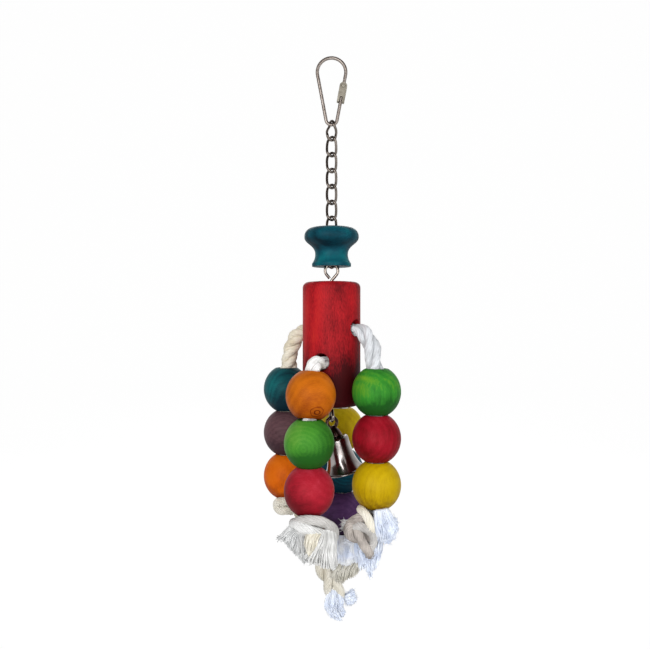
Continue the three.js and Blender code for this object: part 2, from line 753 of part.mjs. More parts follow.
// The shell flares from its bevelled shoulder to its rim and is open below.
function bellShellGeometry() {
  const shoulder = bellShoulderDiameter / 2;
  const rim = bellRimDiameter / 2;
  const depthAt = (share) => -THREE.MathUtils.lerp(shellTop + bellShoulderEdge, bellRim, share);
  const flareAt = (share) => bellFlareEven * share + (1 - bellFlareEven) * share ** bellFlarePower;
  const radiusAt = (share) => THREE.MathUtils.lerp(shoulder, rim, flareAt(share));
  const steps = 6;
  const outside = [];
  const inside = [];
  for (let i = 0; i <= steps; i += 1) {
    const share = i / steps;
    outside.push([radiusAt(share), depthAt(share)]);
    inside.push([radiusAt(share) - bellWall, depthAt(share)]);
  }
  const bevelTop = [shoulder - bellShoulderEdge, -shellTop];
  const bevelInside = [shoulder - bellShoulderEdge - bellWall / 2, -shellTop - bellWall];
  const holeTop = [stemHole / 2, -shellTop];
  const holeFoot = [stemHole / 2, -shellTop - bellWall];
  return turned([holeTop, bevelTop, ...outside, ...inside.reverse(), bevelInside, holeFoot], 22);
}

// The clapper's ring hangs crosswise in the crown's eye. Its origin is the middle of that eye's wire.
function clapperGeometry() {
  const radius = (clapperRingDiameter - clapperRingWire) / 2;
  const ringCentre = clapperEyeWire / 2 + clapperRingWire / 2 + seatGap - radius;
  const ring = new THREE.TorusGeometry(radius, clapperRingWire / 2, 6, 14)
    .rotateY(Math.PI / 2)
    .translate(0, 0, ringCentre);
  const rod = bar(clapperRingWire, -clapperLength, ringCentre - radius, 8);
  const ball = new THREE.SphereGeometry(clapperBall / 2, 10, 7).translate(0, 0, -clapperLength);
  return join(ring, rod, ball);
}

addMesh(bell, "bell_crown", bellCrownGeometry(), "bellChrome");
addMesh(bell, "bell_shell", bellShellGeometry(), "bellChrome");
const clapper = addMesh(bell, "bell_clapper", clapperGeometry(), "bellChrome");
clapper.position.z = -clapperPivot;

export default toy;
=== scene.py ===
# %% [markdown]
# # A hanging shredding toy for pet birds
# The toy hangs on a cage bar by a wire clip. A chain carries a turned knob and a drilled dowel, and two
# cotton ropes through the dowel carry four strings of stained wooden beads that end in knots and frayed
# yarn. A small bell hangs below the dowel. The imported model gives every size, place and joint, and this
# lesson dresses it: finer shapes for each piece, and finishes made from nodes.

# %% Load the fixed frame
import json
import math

import bmesh
import bpy
import numpy as np
from mathutils import Euler, Matrix, Vector, noise


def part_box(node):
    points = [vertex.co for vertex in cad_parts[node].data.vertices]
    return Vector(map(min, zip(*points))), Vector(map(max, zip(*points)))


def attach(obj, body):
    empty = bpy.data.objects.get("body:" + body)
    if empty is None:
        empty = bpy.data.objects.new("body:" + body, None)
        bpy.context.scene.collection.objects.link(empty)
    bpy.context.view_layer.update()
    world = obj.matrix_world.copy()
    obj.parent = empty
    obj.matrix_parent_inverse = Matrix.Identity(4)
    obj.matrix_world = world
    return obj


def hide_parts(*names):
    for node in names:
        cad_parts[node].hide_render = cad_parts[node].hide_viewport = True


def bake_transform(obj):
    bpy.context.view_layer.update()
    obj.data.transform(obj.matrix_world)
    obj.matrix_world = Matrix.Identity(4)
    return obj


MM = 0.001
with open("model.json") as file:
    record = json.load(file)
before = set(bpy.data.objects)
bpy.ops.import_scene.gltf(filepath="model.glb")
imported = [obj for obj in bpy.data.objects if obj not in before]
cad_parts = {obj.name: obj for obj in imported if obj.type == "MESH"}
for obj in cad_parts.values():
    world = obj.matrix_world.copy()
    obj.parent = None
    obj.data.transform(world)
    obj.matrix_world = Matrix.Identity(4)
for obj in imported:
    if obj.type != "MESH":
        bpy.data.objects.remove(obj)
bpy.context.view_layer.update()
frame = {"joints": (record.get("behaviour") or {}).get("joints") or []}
joints = {joint["name"]: joint for joint in frame["joints"]}


def joint_place(name):
    return Vector(joints[name]["pos_m"])


def joint_axis(name):
    return Vector(joints[name]["axis"]).normalized()


def placed(name, data):
    """A new object that holds the data, linked to the scene."""
    obj = bpy.data.objects.new(name, data)
    bpy.context.scene.collection.objects.link(obj)
    return obj


# %% [markdown]
# ## The camera
# The photograph looks straight at the toy from close by: the front string is plainly larger than the back
# one. That fixes the distance, and the width of the picture then gives the viewing angle.

# %% Camera
CAMERA_PLACE = Vector((-3.4, -390, -137.5)) * MM
VIEW_ANGLE = math.radians(46.8)

camera_data = bpy.data.cameras.new("camera")
camera_data.lens = camera_data.sensor_width / 2 / math.tan(VIEW_ANGLE / 2)
camera_data.clip_start = 0.01
camera = placed("camera", camera_data)
camera.location = CAMERA_PLACE
camera.rotation_euler = (math.pi / 2, 0, 0)
bpy.context.scene.camera = camera
print("camera at", [round(v / MM, 1) for v in CAMERA_PLACE], "mm")

# %% [markdown]
# ## Mesh helpers
# Most pieces here are turned on a lathe, or are wire or rope that follows a line. The main helpers turn a
# profile about Z, find evenly spaced points on a smooth line, and carry a section along a line without
# letting it spin. The others make, join, move and smooth meshes.

# %% Mesh helpers
SPAN_POINTS = 24
WIRE_CREASE = 50
ANY_SIDE = (0.31, 0.87, 0.39)


def smoothed(mesh, crease=None):
    """Shade a mesh smooth; edges sharper than the crease angle stay sharp."""
    mesh.polygons.foreach_set("use_smooth", [True] * len(mesh.polygons))
    if crease:
        mesh.set_sharp_from_angle(angle=math.radians(crease))
    return mesh


def mesh_object(name, vertices, faces, material=None, crease=None):
    """A smooth mesh object at the origin."""
    mesh = bpy.data.meshes.new(name)
    mesh.from_pydata([tuple(v) for v in vertices], [], [tuple(f) for f in faces])
    smoothed(mesh, crease)
    if material:
        mesh.materials.append(material)
    return placed(name, mesh)


def outward(obj):
    """Merge doubles and turn every face outwards."""
    work = bmesh.new()
    work.from_mesh(obj.data)
    bmesh.ops.remove_doubles(work, verts=work.verts, dist=1e-7)
    bmesh.ops.recalc_face_normals(work, faces=work.faces)
    work.to_mesh(obj.data)
    work.free()
    return obj


def joined(name, objects, material):
    """One mesh object that holds the meshes of several, which are removed."""
    work = bmesh.new()
    for obj in objects:
        work.from_mesh(obj.data)
        bpy.data.objects.remove(obj)
    mesh = bpy.data.meshes.new(name)
    work.to_mesh(mesh)
    work.free()
    smoothed(mesh).materials.append(material)
    return placed(name, mesh)


def softened(profile, rounds=1):
    """Cut the corners of a closed profile, which rounds its edges a little."""
    points = np.array(profile, float)
    for _ in range(rounds):
        ahead = np.roll(points, -1, axis=0)
        points = np.stack([0.75 * points + 0.25 * ahead, 0.25 * points + 0.75 * ahead], 1).reshape(-1, 2)
    return points


def turned(name, profile, segments, material=None, crease=40):
    """Turn a closed profile of (radius, height) points, clear of the axis, about Z."""
    profile = np.array(profile, float)
    angles = np.linspace(0, 2 * math.pi, segments, endpoint=False)
    out, up = profile[:, 0], profile[:, 1]
    rings = [np.stack([out * math.cos(a), out * math.sin(a), up], 1) for a in angles]
    count = len(profile)
    faces = []
    for i in range(segments):
        here, there = i * count, ((i + 1) % segments) * count
        for j in range(count):
            k = (j + 1) % count
            faces.append((here + j, there + j, there + k, here + k))
    return outward(mesh_object(name, np.concatenate(rings), faces, material, crease))


def moved(obj, matrix):
    """Move the mesh itself, so that the object stays at the origin."""
    obj.data.transform(matrix)
    obj.data.update()
    return obj


def along_axis(place, axis):
    """The matrix that takes +Z to an axis through a place."""
    return Matrix.Translation(place) @ Vector((0, 0, 1)).rotation_difference(axis).to_matrix().to_4x4()


def evenly(points, step):
    """Points at an even step along a polyline."""
    points = np.array(points, float)
    lengths = np.r_[0, np.cumsum(np.linalg.norm(np.diff(points, axis=0), axis=1))]
    count = max(2, int(round(lengths[-1] / step)) + 1)
    wanted = np.linspace(0, lengths[-1], count)
    return np.stack([np.interp(wanted, lengths, points[:, i]) for i in range(3)], 1)


def smooth_line(points, step):
    """Evenly spaced points on a smooth line through the given ones."""
    points = np.array(points, float)
    padded = np.vstack([2 * points[0] - points[1], points, 2 * points[-1] - points[-2]])
    t = np.linspace(0, 1, SPAN_POINTS, endpoint=False)[:, None]
    spans = []
    for a, b, c, d in zip(padded, padded[1:], padded[2:], padded[3:]):
        spans.append(
            0.5 * (2 * b + (c - a) * t + (2 * a - 5 * b + 4 * c - d) * t**2 + (3 * b - a - 3 * c + d) * t**3)
        )
    return evenly(np.vstack([*spans, points[-1:]]), step)


def unit_rows(rows):
    return rows / np.linalg.norm(rows, axis=1, keepdims=True)


def carried_frames(path):
    """Normal and side vectors along a path, carried along it without spin."""
    tangents = unit_rows(np.gradient(path, axis=0))
    normal = np.cross(tangents[0], ANY_SIDE)
    normals = []
    for tangent in tangents:
        normal = normal - tangent * (normal @ tangent)
        normal = normal / np.linalg.norm(normal)
        normals.append(normal)
    normals = np.array(normals)
    return normals, np.cross(tangents, normals)


def swept(name, path, radius, sides, material=None):
    """A round wire along a path, with closed ends."""
    normals, side = carried_frames(path)
    angles = np.linspace(0, 2 * math.pi, sides, endpoint=False)
    ring = np.cos(angles)[None, :, None] * normals[:, None] + np.sin(angles)[None, :, None] * side[:, None]
    vertices = (path[:, None] + radius * ring).reshape(-1, 3)
    return outward(mesh_object(name, vertices, tube_faces(len(path), sides), material, WIRE_CREASE))


def tube_faces(rings, sides, start=0):
    """The quads of a tube and the two faces that close its ends."""
    faces = []
    for i in range(rings - 1):
        for j in range(sides):
            a, b = start + i * sides + j, start + i * sides + (j + 1) % sides
            faces.append((a, b, b + sides, a + sides))
    faces.append(tuple(range(start + sides - 1, start - 1, -1)))
    last = start + (rings - 1) * sides
    faces.append(tuple(range(last, last + sides)))
    return faces


# %% [markdown]
# ## Node helpers
# Shaders and geometry trees are both built from nodes and links. A short helper adds one node, sets its
# options and joins its inputs, so that each tree below reads as a list of steps.


# %% Node helpers
def add_node(tree, kind, inputs=None, **options):
    """Add a node; an input's value is either a number, a colour or another node's output."""
    node = tree.nodes.new(kind)
    for option, value in options.items():
        setattr(node, option, value)
    for key, value in (inputs or {}).items():
        socket = node.inputs[key]
        if isinstance(value, bpy.types.NodeSocket):
            tree.links.new(value, socket)
        else:
            socket.default_value = value
    return node


def math_node(tree, operation, *values):
    return add_node(tree, "ShaderNodeMath", dict(enumerate(values)), operation=operation).outputs[0]


def colour(code):
    """A colour written as sRGB hex, as the linear values that a socket holds, with full cover."""
    parts = [int(code[i : i + 2], 16) / 255 for i in (1, 3, 5)]
    return (*[c / 12.92 if c <= 0.04045 else ((c + 0.055) / 1.055) ** 2.4 for c in parts], 1.0)


def new_group(name, kind, inputs, outputs):
    """An empty node group with named sockets: (name, socket type, default value)."""
    tree = bpy.data.node_groups.new(name, kind)
    for socket_name, socket_type, default in inputs:
        socket = tree.interface.new_socket(socket_name, in_out="INPUT", socket_type=socket_type)
        if default is not None:
            socket.default_value = default
    for socket_name, socket_type in outputs:
        tree.interface.new_socket(socket_name, in_out="OUTPUT", socket_type=socket_type)
    return tree, tree.nodes.new("NodeGroupInput").outputs, tree.nodes.new("NodeGroupOutput").inputs


def new_material(name):
    """A material with only a Principled shader, its node tree and that shader."""
    material = bpy.data.materials.new(name)
    material.use_nodes = True
    tree = material.node_tree
    return material, tree, tree.nodes["Principled BSDF"]


def colour_steps(tree, factor, stops):
    """A colour ramp through (position, sRGB hex) stops."""
    ramp = add_node(tree, "ShaderNodeValToRGB", {"Fac": factor})
    elements = ramp.color_ramp.elements
    while len(elements) < len(stops):
        elements.new(0.5)
    for element, (position, code) in zip(elements, stops):
        element.position = position
        element.color = colour(code)
    return ramp.outputs["Color"]


def add_bump(tree, shader, height, strength, distance):
    """Let a pattern of heights raise a shader's surface a little."""
    bump = add_node(tree, "ShaderNodeBump", {"Height": height, "Strength": strength, "Distance": distance})
    tree.links.new(bump.outputs["Normal"], shader.inputs["Normal"])


def finish_tree(tree, mesh, material, result):
    """End a geometry tree: a smooth, real mesh with its material."""
    smooth = add_node(tree, "GeometryNodeSetShadeSmooth", {"Geometry": mesh})
    real = add_node(tree, "GeometryNodeRealizeInstances", {"Geometry": smooth.outputs[0]})
    finish = add_node(tree, "GeometryNodeSetMaterial", {"Geometry": real.outputs[0], "Material": material})
    tree.links.new(finish.outputs[0], result)


def plain_mesh(obj):
    """The mesh that an object's modifiers make."""
    depsgraph = bpy.context.evaluated_depsgraph_get()
    return bpy.data.meshes.new_from_object(obj.evaluated_get(depsgraph))


# %% [markdown]
# ## Cotton
# Undyed cotton rope is matt and slightly uneven: cream where it is thick, paler where the fibres open, with
# a fine fuzz of fibres. One node group gives a fibre pattern, and each cotton gets its own two colours.


# %% Cotton finish
def fibre_group():
    tree, given, result = new_group(
        "Cotton fibre",
        "ShaderNodeTree",
        [("Vector", "NodeSocketVector", None), ("Fibre scale", "NodeSocketFloat", 2600.0)],
        [("Tone", "NodeSocketFloat"), ("Height", "NodeSocketFloat")],
    )
    fine = add_node(
        tree, "ShaderNodeTexNoise", {"Vector": given[0], "Scale": given[1], "Detail": 3.0, "Distortion": 0.6}
    )
    broad = add_node(tree, "ShaderNodeTexNoise", {"Vector": given[0], "Scale": 170.0, "Detail": 2.0})
    tone = math_node(tree, "MULTIPLY_ADD", fine.outputs["Fac"], 0.35, -0.175)
    tree.links.new(math_node(tree, "ADD", broad.outputs["Fac"], tone), result[0])
    tree.links.new(fine.outputs["Fac"], result[1])
    return tree


FIBRE = fibre_group()


def cotton(name, shade, light):
    material, tree, shader = new_material(name)
    place = add_node(tree, "ShaderNodeTexCoord").outputs["Object"]
    fibre = add_node(tree, "ShaderNodeGroup", {"Vector": place}, node_tree=FIBRE)
    shades = colour_steps(tree, fibre.outputs["Tone"], [(0.3, shade), (0.62, light)])
    tree.links.new(shades, shader.inputs["Base Color"])
    shader.inputs["Roughness"].default_value = 0.9
    shader.inputs["Specular IOR Level"].default_value = 0.2
    shader.inputs["Sheen Weight"].default_value = 0.15
    add_bump(tree, shader, fibre.outputs["Height"], 0.35, 0.3 * MM)
    return material


COTTONS = {
    "front": cotton("cotton_front", "#DCDAD6", "#F0EFEE"),
    "right": cotton("cotton_right", "#BCBFC2", "#D8DBDF"),
    "back": cotton("cotton_back", "#DCD8CE", "#F0EFEC"),
    "left": cotton("cotton_left", "#D3C8AE", "#EAE3D2"),
}
print("cottons", len(COTTONS))

# %% [markdown]
# ## Ropes
# Each rope is three strands laid round each other, and each strand is a bundle of yarns. It leaves its
# hole level, turns down, and settles straight above its beads. A drawn texture would not give the rope its
# knobbly outline, so each strand is a real tube that winds round the path, with furrows for its yarns.

# %% Rope sizes and helpers
ROPE_STEP = 0.5 * MM
STRING_NAMES = ("front", "right", "back", "left")
BEAD_HALF = 11.45 * MM
DOWEL_RADIUS = 15 * MM
ROPE_BEND = 4.3 * MM
ROPE_SAG = 0.9 * MM
ROPE_LEAN = 1.2 * MM
STRAND_REACH = {1: 0.0, 2: 0.5, 3: 0.53}
STRAND_GIRTH = {1: 1.0, 2: 0.54, 3: 0.5}
PINCH_FROM, PINCH_TO = 2 * MM, 9 * MM
WANDER_STEP = 4 * MM
YARN_LAY = 1.6


def eased(value, low, high):
    """A smooth step from 0 to 1."""
    share = np.clip((np.asarray(value) - low) / (high - low), 0, 1)
    return share * share * (3 - 2 * share)


def laid_rope(
    name, path, radius, lay, material, strands=3, yarns=7, furrow=0.2, turn=0.0, pinch=1.0, seed=1
):
    """Strands that wind round a path, each with furrows between its yarns; a pinch narrows the start."""
    rng = np.random.default_rng(seed)
    path = evenly(path, ROPE_STEP)
    run = np.r_[0, np.cumsum(np.linalg.norm(np.diff(path, axis=0), axis=1))]
    girth = radius * (pinch + (1 - pinch) * eased(run, PINCH_FROM, PINCH_TO))
    normals, side = carried_frames(path)
    reach, thick = STRAND_REACH[strands], STRAND_GIRTH[strands]
    sides = 6 * yarns
    angles = np.linspace(0, 2 * math.pi, sides, endpoint=False)
    spots = np.arange(0, run[-1] + 2 * WANDER_STEP, WANDER_STEP)
    vertices, faces = [], []
    for strand in range(strands):
        wander = np.interp(run, spots, rng.normal(0, 1, len(spots)))
        around = (2 * math.pi * (run / lay + strand / strands) + turn)[:, None]
        out = np.cos(around) * normals + np.sin(around) * side
        centre = path + out * (girth * reach * (1 + 0.05 * wander))[:, None]
        heading = unit_rows(np.gradient(centre, axis=0))
        across = unit_rows(np.cross(heading, out))
        up = np.cross(across, heading)
        twist = -2 * math.pi * run / (YARN_LAY * lay)
        ridge = np.abs(np.cos(yarns / 2 * (angles[None] + twist[:, None])))
        size = girth[:, None] * thick * (1 - furrow * (1 - ridge)) * (1 + 0.04 * wander[:, None])
        ring = np.cos(angles)[None, :, None] * up[:, None] + np.sin(angles)[None, :, None] * across[:, None]
        faces += tube_faces(len(path), sides, strand * len(path) * sides)
        vertices.append((centre[:, None] + size[:, :, None] * ring).reshape(-1, 3))
    return outward(mesh_object(name, np.concatenate(vertices), faces, material))


def arc_points(centre, radius, start, end, count=10):
    """Points on an arc in a string's own plane: outwards and up."""
    angles = np.linspace(start, end, count)
    return np.stack([centre[0] + radius * np.cos(angles), centre[1] + radius * np.sin(angles)], 1)


def curve_points(a, b, c, d, count=16):
    """Points on a Bezier curve with two control points."""
    t = np.linspace(0, 1, count)[:, None]
    a, b, c, d = (np.array(p, float) for p in (a, b, c, d))
    return (1 - t) ** 3 * a + 3 * t * (1 - t) ** 2 * b + 3 * t**2 * (1 - t) * c + t**3 * d


def string_plane(string):
    """The mouth of a string's hole, and the directions outwards from it and along its first bead."""
    mouth = joint_place(f"{string}_string_swing")
    outwards = Vector((mouth.x, mouth.y, 0)).normalized()
    return mouth, outwards, joint_axis(f"{string}_bead_1_spin")


def rope_path(string):
    """The rope's line from inside its hole, down through the beads, to the foot of the last one."""
    mouth, _, bead_axis = string_plane(string)
    tops = joint_place(f"{string}_bead_1_spin") + BEAD_HALF * bead_axis
    side, far = mouth.xy.length, tops.xy.length
    drop = mouth.z - tops.z
    tilt = math.acos(min(1, bead_axis.z))
    if tilt > 0.01:
        bend = far - ROPE_BEND * math.cos(tilt) - (drop - ROPE_BEND * (1 - math.sin(tilt))) * math.tan(tilt)
        plane = [arc_points((bend, -ROPE_BEND), ROPE_BEND, math.pi / 2, tilt)]
    else:
        foot = (far - ROPE_LEAN, -drop)
        plane = [curve_points((side, 0), (side + 6 * MM, 0), (foot[0] - MM, -0.4 * drop), foot)[1:]]
    start, end = math.atan2(mouth.y, mouth.x), math.atan2(tops.y, tops.x)
    points = []
    for r, z in np.concatenate([[(side - 1.5 * MM, 0), (side, 0)], *plane]):
        settled = float(eased(r, side, far))
        angle = start + settled * ((end - start + math.pi) % (2 * math.pi) - math.pi)
        sag = ROPE_SAG * (1 - settled)
        points.append(Vector((r * math.cos(angle), r * math.sin(angle), mouth.z + z - sag)))
    for bead in (1, 2, 3):
        place, axis = joint_place(f"{string}_bead_{bead}_spin"), joint_axis(f"{string}_bead_{bead}_spin")
        points += [place + 0.6 * BEAD_HALF * axis, place - 0.8 * BEAD_HALF * axis]
    return smooth_line([tuple(p) for p in points], ROPE_STEP)


def path_length(path):
    return float(np.linalg.norm(np.diff(path, axis=0), axis=1).sum())


# %% Ropes from the dowel to the knots
ROPE_LAYS = {"front": 26 * MM, "right": 40 * MM, "back": 26 * MM, "left": 20 * MM}
ROPE_RADII = {"front": 3.9 * MM, "right": 4.35 * MM, "back": 4.35 * MM, "left": 4.4 * MM}
ROPE_FURROWS = {"front": 0.2, "right": 0.2, "back": 0.2, "left": 0.12}
ROPE_TURN, ROPE_PINCH = 0.7, 0.78
ropes = {}
for number, string in enumerate(STRING_NAMES):
    path, radius = rope_path(string), ROPE_RADII[string]
    rope = laid_rope(
        f"{string}_rope", path, radius, ROPE_LAYS[string], COTTONS[string],
        furrow=ROPE_FURROWS[string], turn=ROPE_TURN * number, pinch=ROPE_PINCH, seed=number,
    )
    mouth, _, bead_axis = string_plane(string)
    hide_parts(f"{string}_rope_lead", f"{string}_rope_run")
    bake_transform(rope)
    ropes[string] = (rope, path)
    print(rope.name, "is", round(path_length(path) / MM, 1), "mm long")

# %% Ropes inside the dowel
CORE_RADIUS, CORE_LAY, CORE_INSET = 3.6 * MM, 24 * MM, 2 * MM
sag = Vector((0, 0, ROPE_SAG))
for name, string in (("upper_rope_core", "right"), ("lower_rope_core", "front")):
    mouth, outwards, _ = string_plane(string)
    ends = [mouth - outwards * depth - sag for depth in (CORE_INSET, 2 * DOWEL_RADIUS - CORE_INSET)]
    core = laid_rope(f"{name}_strands", [tuple(p) for p in ends], CORE_RADIUS, CORE_LAY, COTTONS[string])
    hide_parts(name)
    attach(core, "dowel")
    print(core.name, "is", round((ends[0] - ends[1]).length / MM, 1), "mm long")

# %% [markdown]
# ## Yarns by Geometry Nodes
# Below its knot each rope comes apart into yarns and then fibres. One node tree makes them all: it takes
# lines, lets each wander more towards its tip, and sweeps a thin round section along it. The lines come
# from a few guide rows, which say how wide a bunch is and how thick from front to back at each stage.


# %% Yarn tree
def yarn_tree():
    tree, given, result = new_group(
        "Cotton yarns",
        "GeometryNodeTree",
        [
            ("Lines", "NodeSocketGeometry", None),
            ("Yarn radius", "NodeSocketFloat", 0.0007),
            ("Tip share", "NodeSocketFloat", 0.6),
            ("Wander", "NodeSocketFloat", 0.001),
            ("Wander scale", "NodeSocketFloat", 260.0),
            ("Seed", "NodeSocketFloat", 1.0),
            ("Sides", "NodeSocketInt", 5),
            ("Material", "NodeSocketMaterial", None),
        ],
        [("Yarns", "NodeSocketGeometry")],
    )
    lines = add_node(tree, "GeometryNodeMeshToCurve", {"Mesh": given["Lines"]})
    along = add_node(tree, "GeometryNodeInputNamedAttribute", {"Name": "along"}, data_type="FLOAT")
    lock = add_node(tree, "GeometryNodeInputNamedAttribute", {"Name": "lock"}, data_type="FLOAT")
    place = add_node(tree, "GeometryNodeInputPosition")
    shift = math_node(tree, "ADD", given["Seed"], lock.outputs["Attribute"])
    waves = add_node(
        tree,
        "ShaderNodeTexNoise",
        {"Vector": place.outputs[0], "W": shift, "Scale": given["Wander scale"], "Detail": 1.0},
        noise_dimensions="4D",
    )
    centred = add_node(
        tree, "ShaderNodeVectorMath", {0: waves.outputs["Color"], 1: (0.5, 0.5, 0.5)}, operation="SUBTRACT"
    )
    reach = math_node(tree, "MULTIPLY", given["Wander"], along.outputs["Attribute"])
    offset = add_node(
        tree, "ShaderNodeVectorMath", {0: centred.outputs[0], "Scale": reach}, operation="SCALE"
    )
    wandered = add_node(
        tree, "GeometryNodeSetPosition", {"Geometry": lines.outputs[0], "Offset": offset.outputs[0]}
    )
    taper = add_node(
        tree,
        "ShaderNodeMapRange",
        {0: along.outputs["Attribute"], 1: 0.75, 2: 1.0, 3: 1.0, 4: given["Tip share"]},
    )
    section = add_node(
        tree,
        "GeometryNodeCurvePrimitiveCircle",
        {"Resolution": given["Sides"], "Radius": given["Yarn radius"]},
    )
    tubes = add_node(
        tree,
        "GeometryNodeCurveToMesh",
        {
            "Curve": wandered.outputs[0],
            "Profile Curve": section.outputs[0],
            "Scale": taper.outputs[0],
            "Fill Caps": True,
        },
    )
    finish_tree(tree, tubes.outputs[0], given["Material"], result[0])
    return tree


YARNS = yarn_tree()
YARN_STEP = 0.2 * MM
CLUMPS = 9


def made_by_nodes(name, carrier, tree, values):
    """Run a geometry tree on a carrier object and keep the result as a plain mesh object."""
    modifier = carrier.modifiers.new(tree.name, "NODES")
    modifier.node_group = tree
    for item in tree.interface.items_tree:
        if item.item_type == "SOCKET" and item.in_out == "INPUT" and item.name in values:
            modifier[item.identifier] = values[item.name]
    mesh = plain_mesh(carrier)
    bpy.data.objects.remove(carrier)
    mesh.name = name
    return placed(name, mesh)


def line_carrier(lines):
    """A mesh of loose edge chains, with each point's share of the way along and its line's own number."""
    points = np.concatenate(lines)
    counts = [len(line) for line in lines]
    starts = np.r_[0, np.cumsum(counts)]
    edges = [(i, i + 1) for s, n in zip(starts, counts) for i in range(s, s + n - 1)]
    mesh = bpy.data.meshes.new("lines")
    mesh.from_pydata(points.tolist(), edges, [])
    along = np.concatenate([np.linspace(0, 1, n) for n in counts])
    lock = np.concatenate([np.full(n, i * 0.37) for i, n in enumerate(counts)])
    mesh.attributes.new("along", "FLOAT", "POINT").data.foreach_set("value", along)
    mesh.attributes.new("lock", "FLOAT", "POINT").data.foreach_set("value", lock)
    return placed("lines", mesh)


def row_point(row, share):
    """The point a share of the way along a guide row."""
    row = np.array(row, float)
    at = share * (len(row) - 1)
    return np.array([np.interp(at, range(len(row)), row[:, i]) for i in range(3)])


def yarn_lines(foot, rows, depths, count, points, jitter, ragged, seed):
    """Lines from the first guide row to the last, with tips cut short in clumps; sizes in millimetres."""
    rng = np.random.default_rng(seed)
    clumps = rng.uniform(0, ragged, CLUMPS)
    lines = []
    for number in range(count):
        share = (number + rng.uniform(0, 1)) / count
        deep = rng.uniform(-1, 1)
        roundness = math.sqrt(max(0.05, 1 - (2 * share - 1) ** 2))
        guides = []
        for row, depth in zip(rows, depths):
            spot = row_point(row, share) + rng.normal(0, jitter, 3) * len(guides) / len(rows)
            spot[1] += deep * depth * roundness
            guides.append(spot)
        cut = np.interp(share * (CLUMPS - 1), range(CLUMPS), clumps) + rng.uniform(0, ragged / 2)
        guides[-1] += (guides[-2] - guides[-1]) * min(0.8, cut)
        line = smooth_line(foot + np.array(guides) * MM, YARN_STEP)
        lines.append(line[np.linspace(0, len(line) - 1, points).astype(int)])
    return lines


def yarn_bunch(name, lines, radius, wander, material, tip=0.6, sides=5, seed=1):
    values = {
        "Yarn radius": radius * MM,
        "Tip share": tip,
        "Wander": wander * MM,
        "Seed": float(seed),
        "Sides": sides,
        "Material": material,
    }
    return made_by_nodes(name, line_carrier(lines), YARNS, values)


print("yarn tree nodes", len(YARNS.nodes))

# %% [markdown]
# ## Knots
# Under the last bead each rope is tied in an overhand knot: down through the middle, then round itself.
# Simulating a knot is slow, so its line is plotted in a few points and the same laid rope follows it. The
# rope is pulled tight there, so it is a little thinner than above.

# %% Knots
KNOT_RADIUS = 3.0 * MM
KNOT_LAY = 22 * MM
KNOT_LINES = {
    "front": [
        (0, 0, 3), (0, 0, -3), (0.5, 1.5, -8), (1, 4.5, -10), (-4.5, 5, -8), (-7, 0, -6.2), (-4.5, -4.5, -5),
        (1.5, -5.2, -4.6), (6, -2.5, -5), (6, 3, -5.6), (1, 6, -6.6), (-5, 4.5, -8.6), (-6.5, -1, -10),
        (-3, -4.5, -9.8), (3, -4.5, -9.5), (6, -3, -11.5),
    ],
    "right": [
        (0, 0, 3), (0, 0, -3), (-3, -2.5, -5), (-6.5, -1, -6.5), (-6, 3, -8), (-1, 4.5, -8), (4.5, 2, -6.5),
        (4, -3, -6.5), (-1, -4.5, -8), (-5.5, -3, -10), (-6, 1, -12),
    ],
    "back": [
        (0, 0, 3), (0, 0, -3), (0.5, 1, -9), (1.5, 5, -12), (-4, 6, -9.5), (-7, 1, -7), (-5, -4.5, -5.5),
        (1.5, -5.5, -4.6), (6.5, -2.5, -4.8), (6.5, 3.5, -5.8), (1, 6.4, -7), (-5.5, 4.5, -9),
        (-7, -1, -11.5), (-8, -3.5, -16),
    ],
    "left": [
        (0, 0, 3), (0, 0, -2.5), (0, 1, -6), (2, 4.5, -7), (5.5, 2, -6.4), (5.5, -2.4, -5.4),
        (0.5, -3.6, -4.4), (-4, -2, -4.2), (-4, 3, -4.4), (-0.5, 5.2, -5), (4.5, 4, -6), (6.5, 2, -8),
        (7, 3, -10.5),
    ],
}


def string_foot(string):
    """Where a rope comes out below its last bead."""
    return joint_place(f"{string}_bead_3_spin") - BEAD_HALF * joint_axis(f"{string}_bead_3_spin")


knotted = {}
for number, string in enumerate(STRING_NAMES):
    foot = np.array(string_foot(string))
    line = smooth_line(foot + np.array(KNOT_LINES[string]) * MM, ROPE_STEP)
    knot = laid_rope(f"{string}_overhand", line, KNOT_RADIUS, KNOT_LAY, COTTONS[string], seed=10 + number)
    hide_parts(f"{string}_knot")
    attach(knot, f"{string}_string")
    knotted[string] = [knot]
    print(knot.name, "uses", round(path_length(line) / MM), "mm of rope")

# %% [markdown]
# The outer turns of a knot show single strands, because the rope opens there. Each is one strand of the
# same helper, plotted from the foot of the string. They hug the underside of the last bead.

